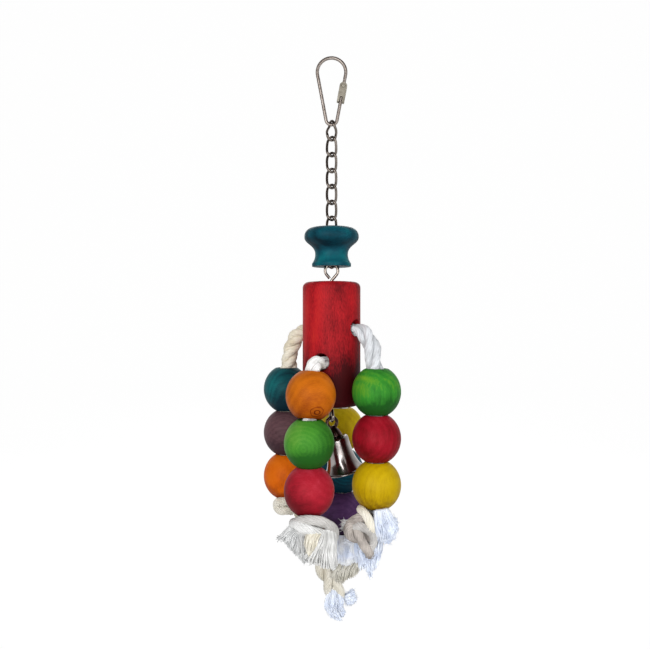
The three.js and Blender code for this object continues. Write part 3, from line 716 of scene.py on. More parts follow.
# %% Loose strands of the knots
WHITE = cotton("cotton_white", "#CBCBC9", "#E6E6E5")
PALE = cotton("cotton_pale", "#C6C7C7", "#DEDFDF")
BLUISH = cotton("cotton_bluish", "#D2DCF0", "#EBF1FC")
COOL = cotton("cotton_cool", "#E2EAFB", "#FAFCFF")
CREAM = cotton("cotton_cream", "#D8D1BE", "#EBE7DC")
SANDY = cotton("cotton_sandy", "#B8B4A6", "#D4D1C7")
OAT = cotton("cotton_oat", "#CBC5B5", "#E0DCD1")
DULL = cotton("cotton_dull", "#A8A5A1", "#C6C4C1")
# The grey cotton is painted shade: a darker copy of the cotton for the right knot's loop and strands, which
# lie in shade behind the bead and the tuft.
PAINTED_SHADE_GREY = cotton("cotton_painted_shade", "#8C847E", "#BDB5AE")
STRANDS = {
    "front": [
        (2.3, DULL, [
            (-3, -2, -5), (-5.4, -5.5, -0.8), (-3.8, -8.4, 0.8), (0.7, -10.6, 1.6), (6, -10.2, 0.6),
            (10, -8, -1.8), (12, -5, -5.2), (11.4, -2, -9), (7, 2, -11),
        ]),
        (2.3, WHITE, [
            (-4, 2, -4), (-7, -2, -2.2), (-6.8, -7, -1.0), (-3.4, -10.9, -1.7), (1, -10.9, -3.2),
            (5.4, -9, -5), (7.6, -6, -7.4), (5, -1, -9.5),
        ]),
    ],
    "right": [
        (2.3, CREAM, [
            (-3, 2, -3), (-7.6, -2, -0.2), (-7.4, -5.6, -0.2), (-5.1, -8.6, -2.5), (-3.2, -9.2, -6.4),
            (-2.4, -7.6, -9.8), (-2, -5, -12),
        ]),
        # Painted shade: this strand takes the grey cotton.
        (2.5, PAINTED_SHADE_GREY, [
            (-3, -2, -4.4), (-5.4, -5, -3), (-9.5, -6.8, -3.7), (-13.2, -6.6, -6.2), (-14.2, -5.8, -9.7),
            (-12.4, -5.4, -12.7), (-9.2, -5, -13.4), (-7, -3, -12),
        ]),
        (2.2, DULL, [
            (-12, -5, -7.6), (-10.4, -7.4, -6.9), (-7.5, -8.8, -7.2), (-4.3, -8.8, -8.8), (-2, -8, -11.9),
            (-2, -6.8, -15.4), (-3.6, -6, -18.6), (-4.2, -4.6, -21),
        ]),
        (2.4, PAINTED_SHADE_GREY, [
            (-10, -4, -7), (-9.5, -7.2, -9.2), (-8.3, -8.4, -12.8), (-6.6, -8.2, -16.4), (-4.5, -7.2, -19.6),
            (-3.6, -5, -22),
        ]),
    ],
    "back": [],
    "left": [
        (2.1, OAT, [
            (2, -4, -2.4), (-0.7, -7.2, -1), (-3.6, -7.2, -0.8), (-5, -6, -2.4), (-4.6, -4.6, -4.6),
        ]),
        (2.1, OAT, [
            (-5, -2, -3.4), (-4.7, -5.2, -4.6), (-2.8, -7.2, -5.8), (0.4, -7.2, -5.8), (3, -4.6, -6.8),
        ]),
    ],
}
STRAND_LAY, STRAND_YARNS = 46 * MM, 11
for string, strands in STRANDS.items():
    foot = np.array(string_foot(string))
    for number, (radius, material, points) in enumerate(strands):
        line = smooth_line(foot + np.array(points) * MM, ROPE_STEP)
        strand = laid_rope(
            f"{string}_strand_{number + 1}", line, radius * MM, STRAND_LAY, material,
            strands=1, yarns=STRAND_YARNS, seed=30 + number,
        )
        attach(strand, f"{string}_string")
        knotted[string].append(strand)
print("strands", sum(len(strands) for strands in STRANDS.values()))

# %% [markdown]
# ## Frayed ends
# Each string ends its own way. The front rope opens into a broad fan with a loose wisp beside it. The right
# one has a soft white tuft and a short fringe. The back one has a bluish puff, a cream fan, and a tail that
# still holds its twist and ends in a brush and a small pom. The left one stays short.

# %% Cotton lumps
FUZZ_RADIUS, FUZZ_WANDER = 0.1, 2.4
FUZZ_SHARES = np.array([-0.3, 0.5, 1.0])


def cotton_lump(name, centre, radii, turn, material, seed, fluff=0.2):
    """A soft lump: a ball that noise pushes in and out, then stretched and turned."""
    work = bmesh.new()
    bmesh.ops.create_icosphere(work, subdivisions=5, radius=1)
    shift = Vector((7.3 * seed, 1.7 * seed, 3.1))
    for vertex in work.verts:
        broad = noise.noise(vertex.co * 1.7 + shift)
        fine = noise.turbulence(vertex.co * 4.5 + shift, 4, False)
        vertex.co *= 1 + fluff * (broad + 0.7 * fine - 0.35)
    mesh = bpy.data.meshes.new(name)
    work.to_mesh(mesh)
    work.free()
    smoothed(mesh).materials.append(material)
    obj = placed(name, mesh)
    turned_by = Euler([math.radians(a) for a in turn]).to_matrix().to_4x4()
    stretched = Matrix.Diagonal((*[r * MM for r in radii], 1))
    return moved(obj, Matrix.Translation(centre) @ turned_by @ stretched)


def lump_fuzz(lump, size, material, seed, count=240):
    """Fine fibres that start on a lump and curl off it, shorter on a small lump."""
    rng = np.random.default_rng(seed)
    spots = rng.choice(len(lump.data.vertices), count, replace=False)
    lines = []
    for spot in spots:
        vertex = lump.data.vertices[int(spot)]
        way = np.array(vertex.normal) * rng.uniform(0.2, 0.6) + rng.normal(0, 0.7, 3)
        reach = way * rng.uniform(0.7, 1.4) * MM * min(1, size / 4)
        ends = np.array(vertex.co) + FUZZ_SHARES[:, None] * reach
        lines.append(evenly(ends, 0.3 * MM))
    return yarn_bunch("fuzz", lines, FUZZ_RADIUS, FUZZ_WANDER, material, tip=0.5, sides=3, seed=seed)


# %% Frayed ends
FRAYS = {
    "front": [
        ("fan", WHITE, 116, 0.5, 0.22, (2.0, 2.6, 3, 3.2), [
            [(5.4, -8, -4.2), (11.6, -6.5, -3.2)],
            [(4.2, -10.8, -8.4), (12.8, -8.6, -7.4)],
            [(0.8, -11, -12.6), (12.8, -9.4, -13.2)],
            [(-2.4, -10, -16.6), (0.4, -10.4, -19.4), (4.5, -10.6, -21.2), (8.2, -10.4, -22),
             (11.6, -9.6, -23.2), (13, -9, -21.6)],
        ]),
        ("fold", CREAM, 40, 0.5, 0.3, (1.6, 2, 2, 1.6), [
            [(3.4, -8.5, -3.2), (6.6, -8.5, -3.6)],
            [(-0.8, -11.2, -5.2), (4.6, -12, -6)],
            [(-1.6, -11.4, -9.6), (2.8, -12, -11.4)],
            [(-0.4, -10.4, -14.6), (2.4, -10.8, -16.8)],
        ]),
        ("wisp", PALE, 240, 0.3, 0.45, (2, 2.4, 2.4, 2.2), [
            [(-7.4, -4, -3.6), (-2.2, -6.4, -6.4)],
            [(-11, -4.4, -4.6), (-2.2, -7.2, -11)],
            [(-13.2, -4.6, -7.2), (-7.4, -6, -12), (-1.6, -7.6, -15.8)],
            [(-15.8, -4.4, -9.2), (-12, -4.6, -9.8), (-9.9, -5, -14), (-6.4, -5.6, -14.2),
             (-4.5, -6.4, -18), (-2, -7, -20.4), (-0.6, -7.4, -19.6)],
        ]),
        ("behind", CREAM, 46, 0.6, 0.8, (3, 3.5, 4), [
            [(-4, 1, -9), (3, 2, -9)],
            [(-6, 4, -15), (4, 5, -15)],
            [(-6, 5, -21), (6, 6, -20)],
        ]),
    ],
    "right": [
        ("tuft", BLUISH, 260, 0.28, 0.35, (2, 3, 3, 2.5), [
            [(-1.6, -9, 0.8), (5, -8, 1.6)],
            [(-1.6, -10, -5), (7.4, -8, -3)],
            [(-0.6, -9.6, -9.8), (9.6, -7, -7.6)],
            [(0.6, -7, -14.4), (2.8, -6.6, -16.4), (5.6, -6, -15), (9, -5, -10.8)],
        ]),
        ("side", BLUISH, 40, 0.45, 0.5, (2, 2.4, 2.4), [
            [(-1.4, -3.4, -10), (3, -3, -10)],
            [(-1.6, -4.2, -17), (2.2, -3.6, -17)],
            [(-2.4, -4.4, -24), (1, -3.8, -24)],
        ]),
        ("fringe", BLUISH, 60, 0.42, 0.5, (1.6, 2, 2, 2), [
            [(-2, -3, -16.5), (1.6, -2.6, -16.5)],
            [(-7, -4.2, -21.4), (1.8, -3.4, -20.6)],
            [(-9, -4.4, -24.6), (0.8, -3.6, -24.6)],
            [(-9.4, -4, -28.6), (-6.8, -4, -32.4), (-3.2, -3.8, -36), (-2.6, -3.6, -32.4),
             (-0.2, -3.4, -28)],
        ]),
        ("inner", BLUISH, 60, 0.42, 0.4, (1.6, 2, 2, 2), [
            [(-9, -2.6, -13.6), (-5, -2.6, -14.6)],
            [(-11, -3.4, -18), (-5, -3.4, -18.8)],
            [(-10, -3.8, -22.4), (-3.6, -3.8, -23.4)],
            [(-8.8, -4, -26), (-4, -4, -27.4)],
        ]),
        ("loop_ends", WHITE, 9, 0.3, 0.8, (0.6, 0.6, 0.6), [
            [(-13.6, -6.4, -4.6), (-14.4, -5.4, -9)],
            [(-15.8, -6.6, -4.8), (-16.4, -5.4, -9)],
            [(-17.6, -6.4, -4.4), (-18.4, -5.4, -9.6)],
        ]),
        ("behind", CREAM, 46, 0.6, 0.8, (3, 3.5, 4), [
            [(-3, 4, -9), (4, 5, -9)],
            [(-4, 8, -17), (7, 8, -16)],
            [(-4, 10, -23), (8, 10, -22)],
        ]),
    ],
    "back": [
        ("puff", COOL, 240, 0.28, 0.5, (2, 3, 3, 2.4), [
            [(-2, -6, 0), (4, -6, -0.4)],
            [(-3.6, -11, -3.8), (8.4, -10, -3.2)],
            [(-3.6, -11.6, -10), (8.8, -10.6, -9)],
            [(-3, -9, -15.2), (6.8, -8.6, -15.4)],
        ]),
        ("fan", SANDY, 190, 0.34, 0.2, (1.8, 2.2, 2.6, 2.6), [
            [(3.6, -7, -11.6), (10.6, -7, -11.6)],
            [(-1.4, -8.4, -15.2), (12.4, -8, -13.6)],
            [(-5, -8.6, -19.4), (11.4, -8.2, -16.6)],
            [(-7, -8.6, -21.6), (-2, -8.6, -25.2), (1.8, -8.4, -24.4), (6, -8.2, -21.6), (11, -8, -17.8)],
        ]),
        ("brush", BLUISH, 92, 0.46, 0.2, (2.4, 2.8, 2.4, 2), [
            [(-6.4, -5.2, -29), (-1.6, -5.6, -30)],
            [(-8.8, -9, -34.6), (0.8, -9, -34.2)],
            [(-8.8, -8.4, -39), (0.2, -8.4, -38.4)],
            [(-6.4, -7, -43.4), (-2.6, -7, -47), (0.8, -7, -45.2), (2, -7, -41.6)],
        ]),
        ("behind", WHITE, 56, 0.6, 0.8, (3, 4, 4), [
            [(-4, 4, -9), (5, 3, -9)],
            [(-5, 8, -16), (8, 7, -15)],
            [(-5, 10, -22), (10, 9, -21)],
        ]),
    ],
    "left": [
        ("fray", CREAM, 60, 0.6, 0.8, (2.5, 3, 3.5), [
            [(4.4, 3.4, -8), (8.6, 3, -8)],
            [(5.4, 5.7, -13), (11, 4.7, -13)],
            [(5.4, 7.7, -19), (13, 6.7, -18)],
        ]),
    ],
}

# A bunch thinner than a yarn is loose fibre: its lines are less even and wander more.
FIBRE_BELOW = 0.32
YARN_POINTS, YARN_JITTER, YARN_WANDER = 13, 0.5, 1.6
FIBRE_JITTER, FIBRE_WANDER = 0.9, 3.0
STRAY_COUNT, STRAY_POINTS, STRAY_SPREAD, STRAY_JITTER, STRAY_CUT = 60, 11, 1.25, 1.5, 0.5
STRAY_RADIUS, STRAY_WANDER = 0.11, 5.0
for string, bunches in FRAYS.items():
    foot = np.array(string_foot(string))
    for number, (title, material, count, radius, ragged, depths, rows) in enumerate(bunches):
        loose = radius < FIBRE_BELOW
        jitter, wander = (FIBRE_JITTER, FIBRE_WANDER) if loose else (YARN_JITTER, YARN_WANDER)
        lines = yarn_lines(foot, rows, depths, count, YARN_POINTS, jitter, ragged, number + 1)
        wide = [d * STRAY_SPREAD for d in depths]
        stray = yarn_lines(foot, rows, wide, STRAY_COUNT, STRAY_POINTS, STRAY_JITTER, STRAY_CUT, number + 40)
        parts = [
            yarn_bunch("yarns", lines, radius, wander, material, seed=number + 1),
            yarn_bunch(
                "stray", stray, STRAY_RADIUS, STRAY_WANDER, material, tip=0.5, sides=3, seed=number + 9
            ),
        ]
        piece = joined(f"{string}_{title}", parts, material)
        if number == 0:
            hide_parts(f"{string}_frayed_end")
        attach(piece, f"{string}_string")
        knotted[string].append(piece)
        print(piece.name, count, "yarns,", len(piece.data.polygons), "faces")

# %% [markdown]
# The softest parts are fibre rather than yarn, and a lump under the loose fibres fills them out: the tuft on
# the right, the puff and the small pom at the back, and the body of the wisp.

# %% Lumps under the fibres
LUMPS = [
    ("right", "tuft_body", BLUISH, (3.8, -6.6, -7.2), (5.4, 4.6, 8.4), (0, -14, 0)),
    ("right", "tuft_side", BLUISH, (6.4, -5.6, -7.4), (3.8, 3.6, 5.0), (0, 10, 0)),
    ("back", "puff_body", COOL, (2.6, -9.6, -7.6), (6.4, 4.6, 7.8), (0, 8, 0)),
    ("back", "pom", BLUISH, (4.6, -5.4, -34.6), (3.5, 3.4, 3.6), (0, 0, 0)),
    ("back", "pom_tip", BLUISH, (5.6, -5.4, -31.6), (1.7, 1.7, 1.9), (0, 20, 0)),
    ("front", "wisp_body", PALE, (-6.4, -5.2, -8.8), (3.2, 1.7, 7.2), (0, -32, 0)),
    # Painted shade: the loop's lumps take the grey cotton.
    ("right", "loop_body", PAINTED_SHADE_GREY, (-9.4, -4.4, -9.4), (4.4, 2.0, 5.0), (0, 0, 0)),
    ("right", "loop_foot", PAINTED_SHADE_GREY, (-4.4, -4.6, -13.6), (3.0, 2.0, 5.0), (0, -12, 0)),
    ("left", "knot_body", OAT, (-2.0, -5.0, -3.4), (2.6, 2.2, 2.4), (0, 0, 0)),
]
for number, (string, title, material, place, radii, turn) in enumerate(LUMPS):
    centre = string_foot(string) + Vector(place) * MM
    body = cotton_lump("body", centre, radii, turn, material, number + 1)
    fuzz = lump_fuzz(body, min(radii), material, number + 60)
    lump = joined(f"{string}_{title}", [body, fuzz], material)
    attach(lump, f"{string}_string")
    knotted[string].append(lump)
print("lumps", len(LUMPS))

# %% [markdown]
# One length below the knots still holds together as twisted strands: the long tail at the back. The same
# helper lays two of them round each other, and a third beside them. A single yarn carries the pom.

# %% Tail that keeps its twist
TAIL_TURN, TAIL_YARNS = 0.6, 9
TAILS = {
    "long": (4.3, 23, 2, OAT, [
        (-7, -2, -11), (-10.6, -4, -15.5), (-9.6, -5.2, -20), (-7.6, -5.4, -24.5), (-5.8, -5.6, -29),
        (-5, -5.4, -33),
    ]),
    "side": (2.3, 40, 1, OAT, [
        (-6, -4, -20), (-4.4, -6, -24), (-1.4, -7, -28), (-0.6, -6.8, -32), (-2, -6, -35.4),
    ]),
    "pom": (0.6, 30, 1, WHITE, [(-2, -5.6, -34), (1.4, -5.6, -35.4), (4.4, -5.4, -34.8)]),
}
for title, (radius, lay, strands, material, points) in TAILS.items():
    line = smooth_line(np.array(string_foot("back")) + np.array(points) * MM, ROPE_STEP)
    tail = laid_rope(
        f"{title}_tail", line, radius * MM, lay * MM, material,
        strands=strands, turn=TAIL_TURN, yarns=TAIL_YARNS, seed=5,
    )
    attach(tail, "back_string")
    knotted["back"].append(tail)
    print(tail.name, round(path_length(line) / MM, 1), "mm")

# %% [markdown]
# ## Stained wood
# Beads, knob and dowel are turned from a pale close-grained wood and dyed, so the grain shows through as
# darker and lighter dye. One group gives growth rings, streaks, blotches and speckle, and a lean that makes
# one side of a piece lighter than the other: painted light and shade. A Mapping node in each material sets
# the middle of the rings and the way the trunk ran, so no two beads look alike.

# %% Grain group
WAVE_PERIOD = 0.31416  # of a ring texture at scale 1, in metres


def grain_group():
    tree, given, result = new_group(
        "Stained grain",
        "ShaderNodeTree",
        [
            ("Vector", "NodeSocketVector", None),
            ("Ring spacing", "NodeSocketFloat", 0.0013),
            ("Ring wave", "NodeSocketFloat", 1.5),
            ("Rings", "NodeSocketFloat", 0.3),
            ("Streak width", "NodeSocketFloat", 0.0012),
            ("Streaks", "NodeSocketFloat", 0.3),
            ("Blotches", "NodeSocketFloat", 0.3),
            ("Speckle", "NodeSocketFloat", 0.15),
            ("Lean", "NodeSocketVector", None),
        ],
        [("Tone", "NodeSocketFloat"), ("Height", "NodeSocketFloat")],
    )
    vector = given["Vector"]
    ring_scale = math_node(tree, "DIVIDE", WAVE_PERIOD, given["Ring spacing"])
    rings = add_node(
        tree,
        "ShaderNodeTexWave",
        {
            "Vector": vector,
            "Scale": ring_scale,
            "Distortion": given["Ring wave"],
            "Detail": 2.0,
            "Detail Scale": 0.35,
        },
        wave_type="RINGS",
        rings_direction="Z",
    )
    lengthwise = add_node(
        tree, "ShaderNodeVectorMath", {0: vector, 1: (1.0, 1.0, 0.05)}, operation="MULTIPLY"
    )
    streak_scale = math_node(tree, "DIVIDE", 1.0, given["Streak width"])
    streaks = add_node(
        tree, "ShaderNodeTexNoise", {"Vector": lengthwise.outputs[0], "Scale": streak_scale, "Detail": 3.0}
    )
    blotches = add_node(tree, "ShaderNodeTexNoise", {"Vector": vector, "Scale": 85.0, "Detail": 2.0})
    pores = add_node(
        tree, "ShaderNodeVectorMath", {0: vector, 1: (1.0, 1.0, 0.25)}, operation="MULTIPLY"
    )
    speckle = add_node(
        tree, "ShaderNodeTexNoise", {"Vector": pores.outputs[0], "Scale": 2300.0, "Detail": 2.0}
    )
    # Painted light and shade: the lean makes the tone lighter towards one side of a piece and darker towards
    # the other.
    lean = add_node(
        tree, "ShaderNodeVectorMath", {0: vector, 1: given["Lean"]}, operation="DOT_PRODUCT"
    )
    tone = math_node(tree, "ADD", lean.outputs["Value"], 0.5)
    for part, amount in (
        (rings.outputs["Fac"], "Rings"),
        (streaks.outputs["Fac"], "Streaks"),
        (blotches.outputs["Fac"], "Blotches"),
        (speckle.outputs["Fac"], "Speckle"),
    ):
        centred = math_node(tree, "SUBTRACT", part, 0.5)
        doubled = math_node(tree, "MULTIPLY", given[amount], 2.0)
        tone = math_node(tree, "MULTIPLY_ADD", centred, doubled, tone)
    tree.links.new(tone, result["Tone"])
    height = math_node(tree, "MULTIPLY", rings.outputs["Fac"], given["Rings"])
    height = math_node(tree, "MULTIPLY_ADD", streaks.outputs["Fac"], given["Streaks"], height)
    height = math_node(tree, "MULTIPLY_ADD", speckle.outputs["Fac"], 0.4, height)
    tree.links.new(height, result["Height"])
    return tree


def branch_group():
    """The mark of a small branch: a few dark rings round a place, which fade outwards."""
    tree, given, result = new_group(
        "Branch mark",
        "ShaderNodeTree",
        [
            ("Vector", "NodeSocketVector", None),
            ("Centre", "NodeSocketVector", None),
            ("Size", "NodeSocketFloat", 0.0026),
        ],
        [("Dark", "NodeSocketFloat")],
    )
    away = add_node(
        tree, "ShaderNodeVectorMath", {0: given["Vector"], 1: given["Centre"]}, operation="SUBTRACT"
    )
    distance = add_node(tree, "ShaderNodeVectorMath", {0: away.outputs[0]}, operation="LENGTH")
    share = math_node(tree, "DIVIDE", distance.outputs["Value"], given["Size"])
    wobble = add_node(tree, "ShaderNodeTexNoise", {"Vector": given["Vector"], "Scale": 300.0, "Detail": 1.0})
    share = math_node(tree, "MULTIPLY_ADD", wobble.outputs["Fac"], 0.9, share)
    rings = math_node(tree, "SINE", math_node(tree, "MULTIPLY", share, 9.0))
    lines = math_node(tree, "POWER", math_node(tree, "MAXIMUM", rings, 0.0), 2.0)
    fade = add_node(tree, "ShaderNodeMapRange", {0: share, 1: 1.0, 2: 2.0, 3: 1.0, 4: 0.0})
    tree.links.new(math_node(tree, "MULTIPLY", lines, fade.outputs[0]), result["Dark"])
    return tree


GRAIN = grain_group()
BRANCH = branch_group()
SHADE_STOPS = (0.12, 0.5, 0.88)
BRANCH_DEPTH = 0.6


def stained_wood(
    name, shades, centre, trunk=(0, 0, 0), lean=(0, 0, 0), roughness=0.5, ends=None, bands=(), branch=None,
    painted_shadow=None, **grain,
):
    """Dyed wood: three shades, the middle of the rings, the trunk's turn in degrees, and grain values.

    Ends are a middle height, a reach, an amount and a power: the wood darkens above and below the middle,
    which is painted shade, on the beads with a little dye gathered at the end grain. Bands are heights,
    reaches and amounts of paler or darker tone; the knob's darker band is painted shade. A branch mark has a
    place, size and shade. A darkest extra shade, when given, paints shadow where the tone runs lowest.
    """
    material, tree, shader = new_material(name)
    turn = [math.radians(a) for a in trunk]
    place = add_node(tree, "ShaderNodeTexCoord").outputs["Object"]
    mapped = add_node(
        tree,
        "ShaderNodeMapping",
        {"Vector": place, "Location": centre, "Rotation": turn},
        vector_type="TEXTURE",
    )
    # The lean is painted light and shade, turned into the frame of the rings.
    own_shading_lean = Euler(turn).to_matrix().inverted() @ Vector(lean)
    group = add_node(
        tree, "ShaderNodeGroup", {"Vector": mapped.outputs[0], "Lean": own_shading_lean}, node_tree=GRAIN
    )
    for key, value in grain.items():
        group.inputs[key.replace("_", " ").capitalize()].default_value = value
    tone = group.outputs["Tone"]
    height = add_node(tree, "ShaderNodeSeparateXYZ", {0: place}).outputs["Z"]

    def away_from(middle, reach):
        share = math_node(tree, "MULTIPLY_ADD", height, 1 / reach, -middle / reach)
        return math_node(tree, "ABSOLUTE", share)

    # Painted shade: the tone drops above and below the middle height.
    if ends:
        middle, reach, amount, power = ends
        share = math_node(tree, "POWER", away_from(middle, reach), power)
        tone = math_node(tree, "MULTIPLY_ADD", share, -amount, tone)
    for middle, reach, amount in bands:
        band = add_node(
            tree,
            "ShaderNodeMapRange",
            {0: away_from(middle, reach), 1: 0.0, 2: 1.0, 3: amount, 4: 0.0},
            interpolation_type="SMOOTHSTEP",
        )
        tone = math_node(tree, "ADD", tone, band.outputs[0])
    stops = list(zip(SHADE_STOPS, shades))
    # A darker extra shade at the bottom of the ramp paints the deepest shadow.
    if painted_shadow:
        stops.insert(0, (0.0, painted_shadow))
    if branch:
        spot, size, dark = branch
        sockets = {"Vector": place, "Centre": spot, "Size": size}
        mark = add_node(tree, "ShaderNodeGroup", sockets, node_tree=BRANCH)
        tone = math_node(tree, "MULTIPLY_ADD", mark.outputs["Dark"], -BRANCH_DEPTH, tone)
        stops.insert(0, (0.0, dark))
    tree.links.new(colour_steps(tree, tone, stops), shader.inputs["Base Color"])
    gloss = math_node(tree, "MULTIPLY_ADD", tone, -0.12, roughness + 0.06)
    tree.links.new(gloss, shader.inputs["Roughness"])
    shader.inputs["Specular IOR Level"].default_value = 0.08
    add_bump(tree, shader, group.outputs["Height"], 0.25, 0.2 * MM)
    return material


print("grain nodes", len(GRAIN.nodes))

# %% [markdown]
# ## Beads
# A bead is a turned ball with a flat at each end and a drilled hole with a softened edge. The lathe helper
# makes one shape, and each joint says where a bead sits and how it is tilted. The beads of the front string
# have slid up their rope by about a millimetre, as its knot was tied a little below them.

# %% Beads
BEAD_RADIUS = 12.2 * MM
BEAD_FLAT = 5.7 * MM
BEAD_BORE = 4.8 * MM
BEAD_CHAMFER = 0.3 * MM
BEAD_SEGMENTS = 72
# Each bead darkens towards its flats, more below than above: mostly painted shade where the light falls off,
# with a little dye gathered at the end grain.
USUAL_DYE_AND_SHADE = 0.18
DYE_AND_SHADE_RISE, DYE_AND_SHADE_REACH = 4 * MM, 12 * MM


def bead_profile():
    flat_angle = math.acos(BEAD_FLAT / BEAD_RADIUS)
    round_half = BEAD_HALF / math.sin(flat_angle)
    angles = np.linspace(-flat_angle, flat_angle, 41)
    ball = np.stack([BEAD_RADIUS * np.cos(angles), round_half * np.sin(angles)], 1)
    bore = [(BEAD_BORE, h * BEAD_HALF) for h in (0.97, 0.5, 0, -0.5, -0.97)]
    edge = BEAD_BORE + BEAD_CHAMFER
    return softened([*ball, (edge, BEAD_HALF), *bore, (edge, -BEAD_HALF)])


TO_VIEWER = (90, 0, 0)
# In each bead the lean paints light and shade across it, and the darkening at the flats is painted shade
# with a little gathered dye.
BEADS = {
    "front_bead_1_orange": dict(
        gather=0.2, slide=0.2, branch=(Vector((-7.3, -35, -178.8)) * MM, 2.6 * MM, "#5C2300"),
        shades=("#893B04", "#BF650D", "#CE7718"), trunk=(0, 84, 12), offset=(0, 6, 9), lean=(0, 0, 6),
        ring_spacing=0.0034, ring_wave=5.0, rings=0.05, streaks=0.07, streak_width=0.0022, blotches=0.28,
    ),
    "front_bead_2_green": dict(
        gather=0.55, slide=1.2,
        shades=("#1F5618", "#418629", "#6EA03F"), trunk=TO_VIEWER, offset=(-2.5, 0, -1), lean=(-20, 0, 8),
        ring_spacing=0.0019, ring_wave=5.0, rings=0.035, streaks=0.06, blotches=0.3,
    ),
    "front_bead_3_crimson": dict(
        gather=0.05, slide=1.4,
        shades=("#680E18", "#A31C2C", "#BE3C4E"), trunk=(20, 75, 0), offset=(0, 0, 6), lean=(8, 0, 20),
        ring_spacing=0.003, ring_wave=3.0, rings=0.03, streaks=0.096, streak_width=0.002, blotches=0.34,
    ),
    "right_bead_1_green": dict(
        gather=0.55,
        shades=("#195118", "#338428", "#70A025"), trunk=(4, -3, 0), offset=(6, 5, 0), lean=(-9, 0, 4),
        ring_spacing=0.0026, ring_wave=1.2, rings=0.06, streaks=0.204, streak_width=0.0012, blotches=0.26,
    ),
    "right_bead_2_crimson": dict(
        gather=0.05,
        shades=("#63070C", "#911020", "#A82834"), trunk=(-4, 5, 0), offset=(14, 10, 0), lean=(4, 0, 4),
        ring_spacing=0.0022, ring_wave=1.0, rings=0.04, streaks=0.132, streak_width=0.0014, blotches=0.38,
    ),
    "right_bead_3_yellow": dict(
        shades=("#7F5E01", "#B69603", "#C8AA0B"), trunk=(3, 4, 0), offset=(-12, 9, 0), lean=(4, 0, 6),
        ring_spacing=0.0028, ring_wave=1.0, rings=0.05, streaks=0.24, streak_width=0.0011, blotches=0.2,
    ),
    "back_bead_1_yellow": dict(
        shades=("#A9890A", "#CBAE10", "#DEC62A"), trunk=(2, 3, 0), offset=(9, 12, 0), lean=(0, 0, 6),
        ring_spacing=0.0024, ring_wave=1.5, rings=0.06, streaks=0.18, streak_width=0.0014, blotches=0.3,
    ),
    "back_bead_2_teal": dict(
        gather=0.4,
        shades=("#022836", "#044B5C", "#086877"), trunk=(80, 20, 0), offset=(3, 0, 5), lean=(0, 0, 8),
        ring_spacing=0.0019, ring_wave=1.5, rings=0.07, streaks=0.144, blotches=0.34,
    ),
    "back_bead_3_purple": dict(
        gather=0.4,
        shades=("#29182E", "#533460", "#6B4A79"), trunk=(10, 80, 0), offset=(0, 4, 8), lean=(0, 0, 8),
        ring_spacing=0.0024, ring_wave=2.0, rings=0.035, streaks=0.144, blotches=0.36,
    ),
    "left_bead_1_teal": dict(
        gather=0.4,
        shades=("#082530", "#104E54", "#166D6D"), trunk=(0, 80, 8), offset=(0, 5, 6), lean=(-14, 0, 4),
        ring_spacing=0.002, ring_wave=2.0, rings=0.06, streaks=0.132, blotches=0.34,
    ),
    "left_bead_2_plum": dict(
        gather=0.4,
        shades=("#3B282E", "#604449", "#79575B"), trunk=(6, 84, 0), offset=(0, 6, 10), lean=(-6, 0, 6),
        ring_spacing=0.0016, ring_wave=3.0, rings=0.035, streaks=0.16, streak_width=0.001, blotches=0.24,
    ),
    "left_bead_3_orange": dict(
        shades=("#923A02", "#CE5F06", "#DD7213"), trunk=(4, 6, 0), offset=(8, 8, 0), lean=(-4, 0, 8),
        ring_spacing=0.0028, ring_wave=1.5, rings=0.05, streaks=0.12, blotches=0.32,
    ),
}

PROFILE = bead_profile()
bead_places = {string: [] for string in STRING_NAMES}
for node, finish in BEADS.items():
    string, _, number, shade = node.split("_")
    joint = f"{string}_bead_{number}_spin"
    centre = joint_place(joint) + finish.pop("slide", 0) * MM * joint_axis(joint)
    offset = Vector(finish.pop("offset")) * MM
    # The ends darken each bead above and below a middle a little over its centre: painted shade, with a
    # little gathered dye.
    ends = (centre.z + DYE_AND_SHADE_RISE, DYE_AND_SHADE_REACH, finish.pop("gather", USUAL_DYE_AND_SHADE), 2)
    material = stained_wood(f"{node}_stain", centre=centre + offset, ends=ends, **finish)
    bead = turned(f"{node}_turned", PROFILE, BEAD_SEGMENTS, material)
    moved(bead, along_axis(centre, joint_axis(joint)))
    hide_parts(node)
    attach(bead, f"{string}_bead_{number}")
    bead_places[string].append(centre)
for string, places in bead_places.items():
    gaps = [round(((a - b).length - 2 * BEAD_HALF) / MM, 2) for a, b in zip(places, places[1:])]
    print(string, "string: gaps between beads", gaps, "mm")

# %% [markdown]
# ## Dowel
# The dowel is a round block with softened ends and two cross holes. A lathe makes the block, and a Boolean
# modifier drills it, so that the rope leaves through a clean edge with a dark gap above it.

# %% Dowel
DOWEL_TOP, DOWEL_FOOT = -115.53 * MM, -179.53 * MM
DOWEL_EDGE = 3 * MM
DOWEL_CENTRE_DOT = 0.4 * MM
ROPE_HOLE = 4.5 * MM
DRILL_CENTRE_DOT, DRILL_HALF = 0.1 * MM, 30 * MM
DRILLED_CREASE = 32


def rounded_end(height, direction):
    angles = np.linspace(0, math.pi / 2, 9)
    radius = DOWEL_RADIUS - DOWEL_EDGE + DOWEL_EDGE * np.cos(angles)
    return np.stack([radius, height - direction * DOWEL_EDGE * (1 - np.sin(angles))], 1)


def drilled(obj, cutters):
    """Cut holes with Boolean modifiers and keep the plain mesh."""
    for cutter in cutters:
        modifier = obj.modifiers.new("drill", "BOOLEAN")
        modifier.object = cutter
        modifier.operation = "DIFFERENCE"
        modifier.solver = "EXACT"
    mesh = plain_mesh(obj)
    obj.modifiers.clear()
    obj.data = mesh
    for cutter in cutters:
        bpy.data.objects.remove(cutter)
    smoothed(mesh, DRILLED_CREASE)


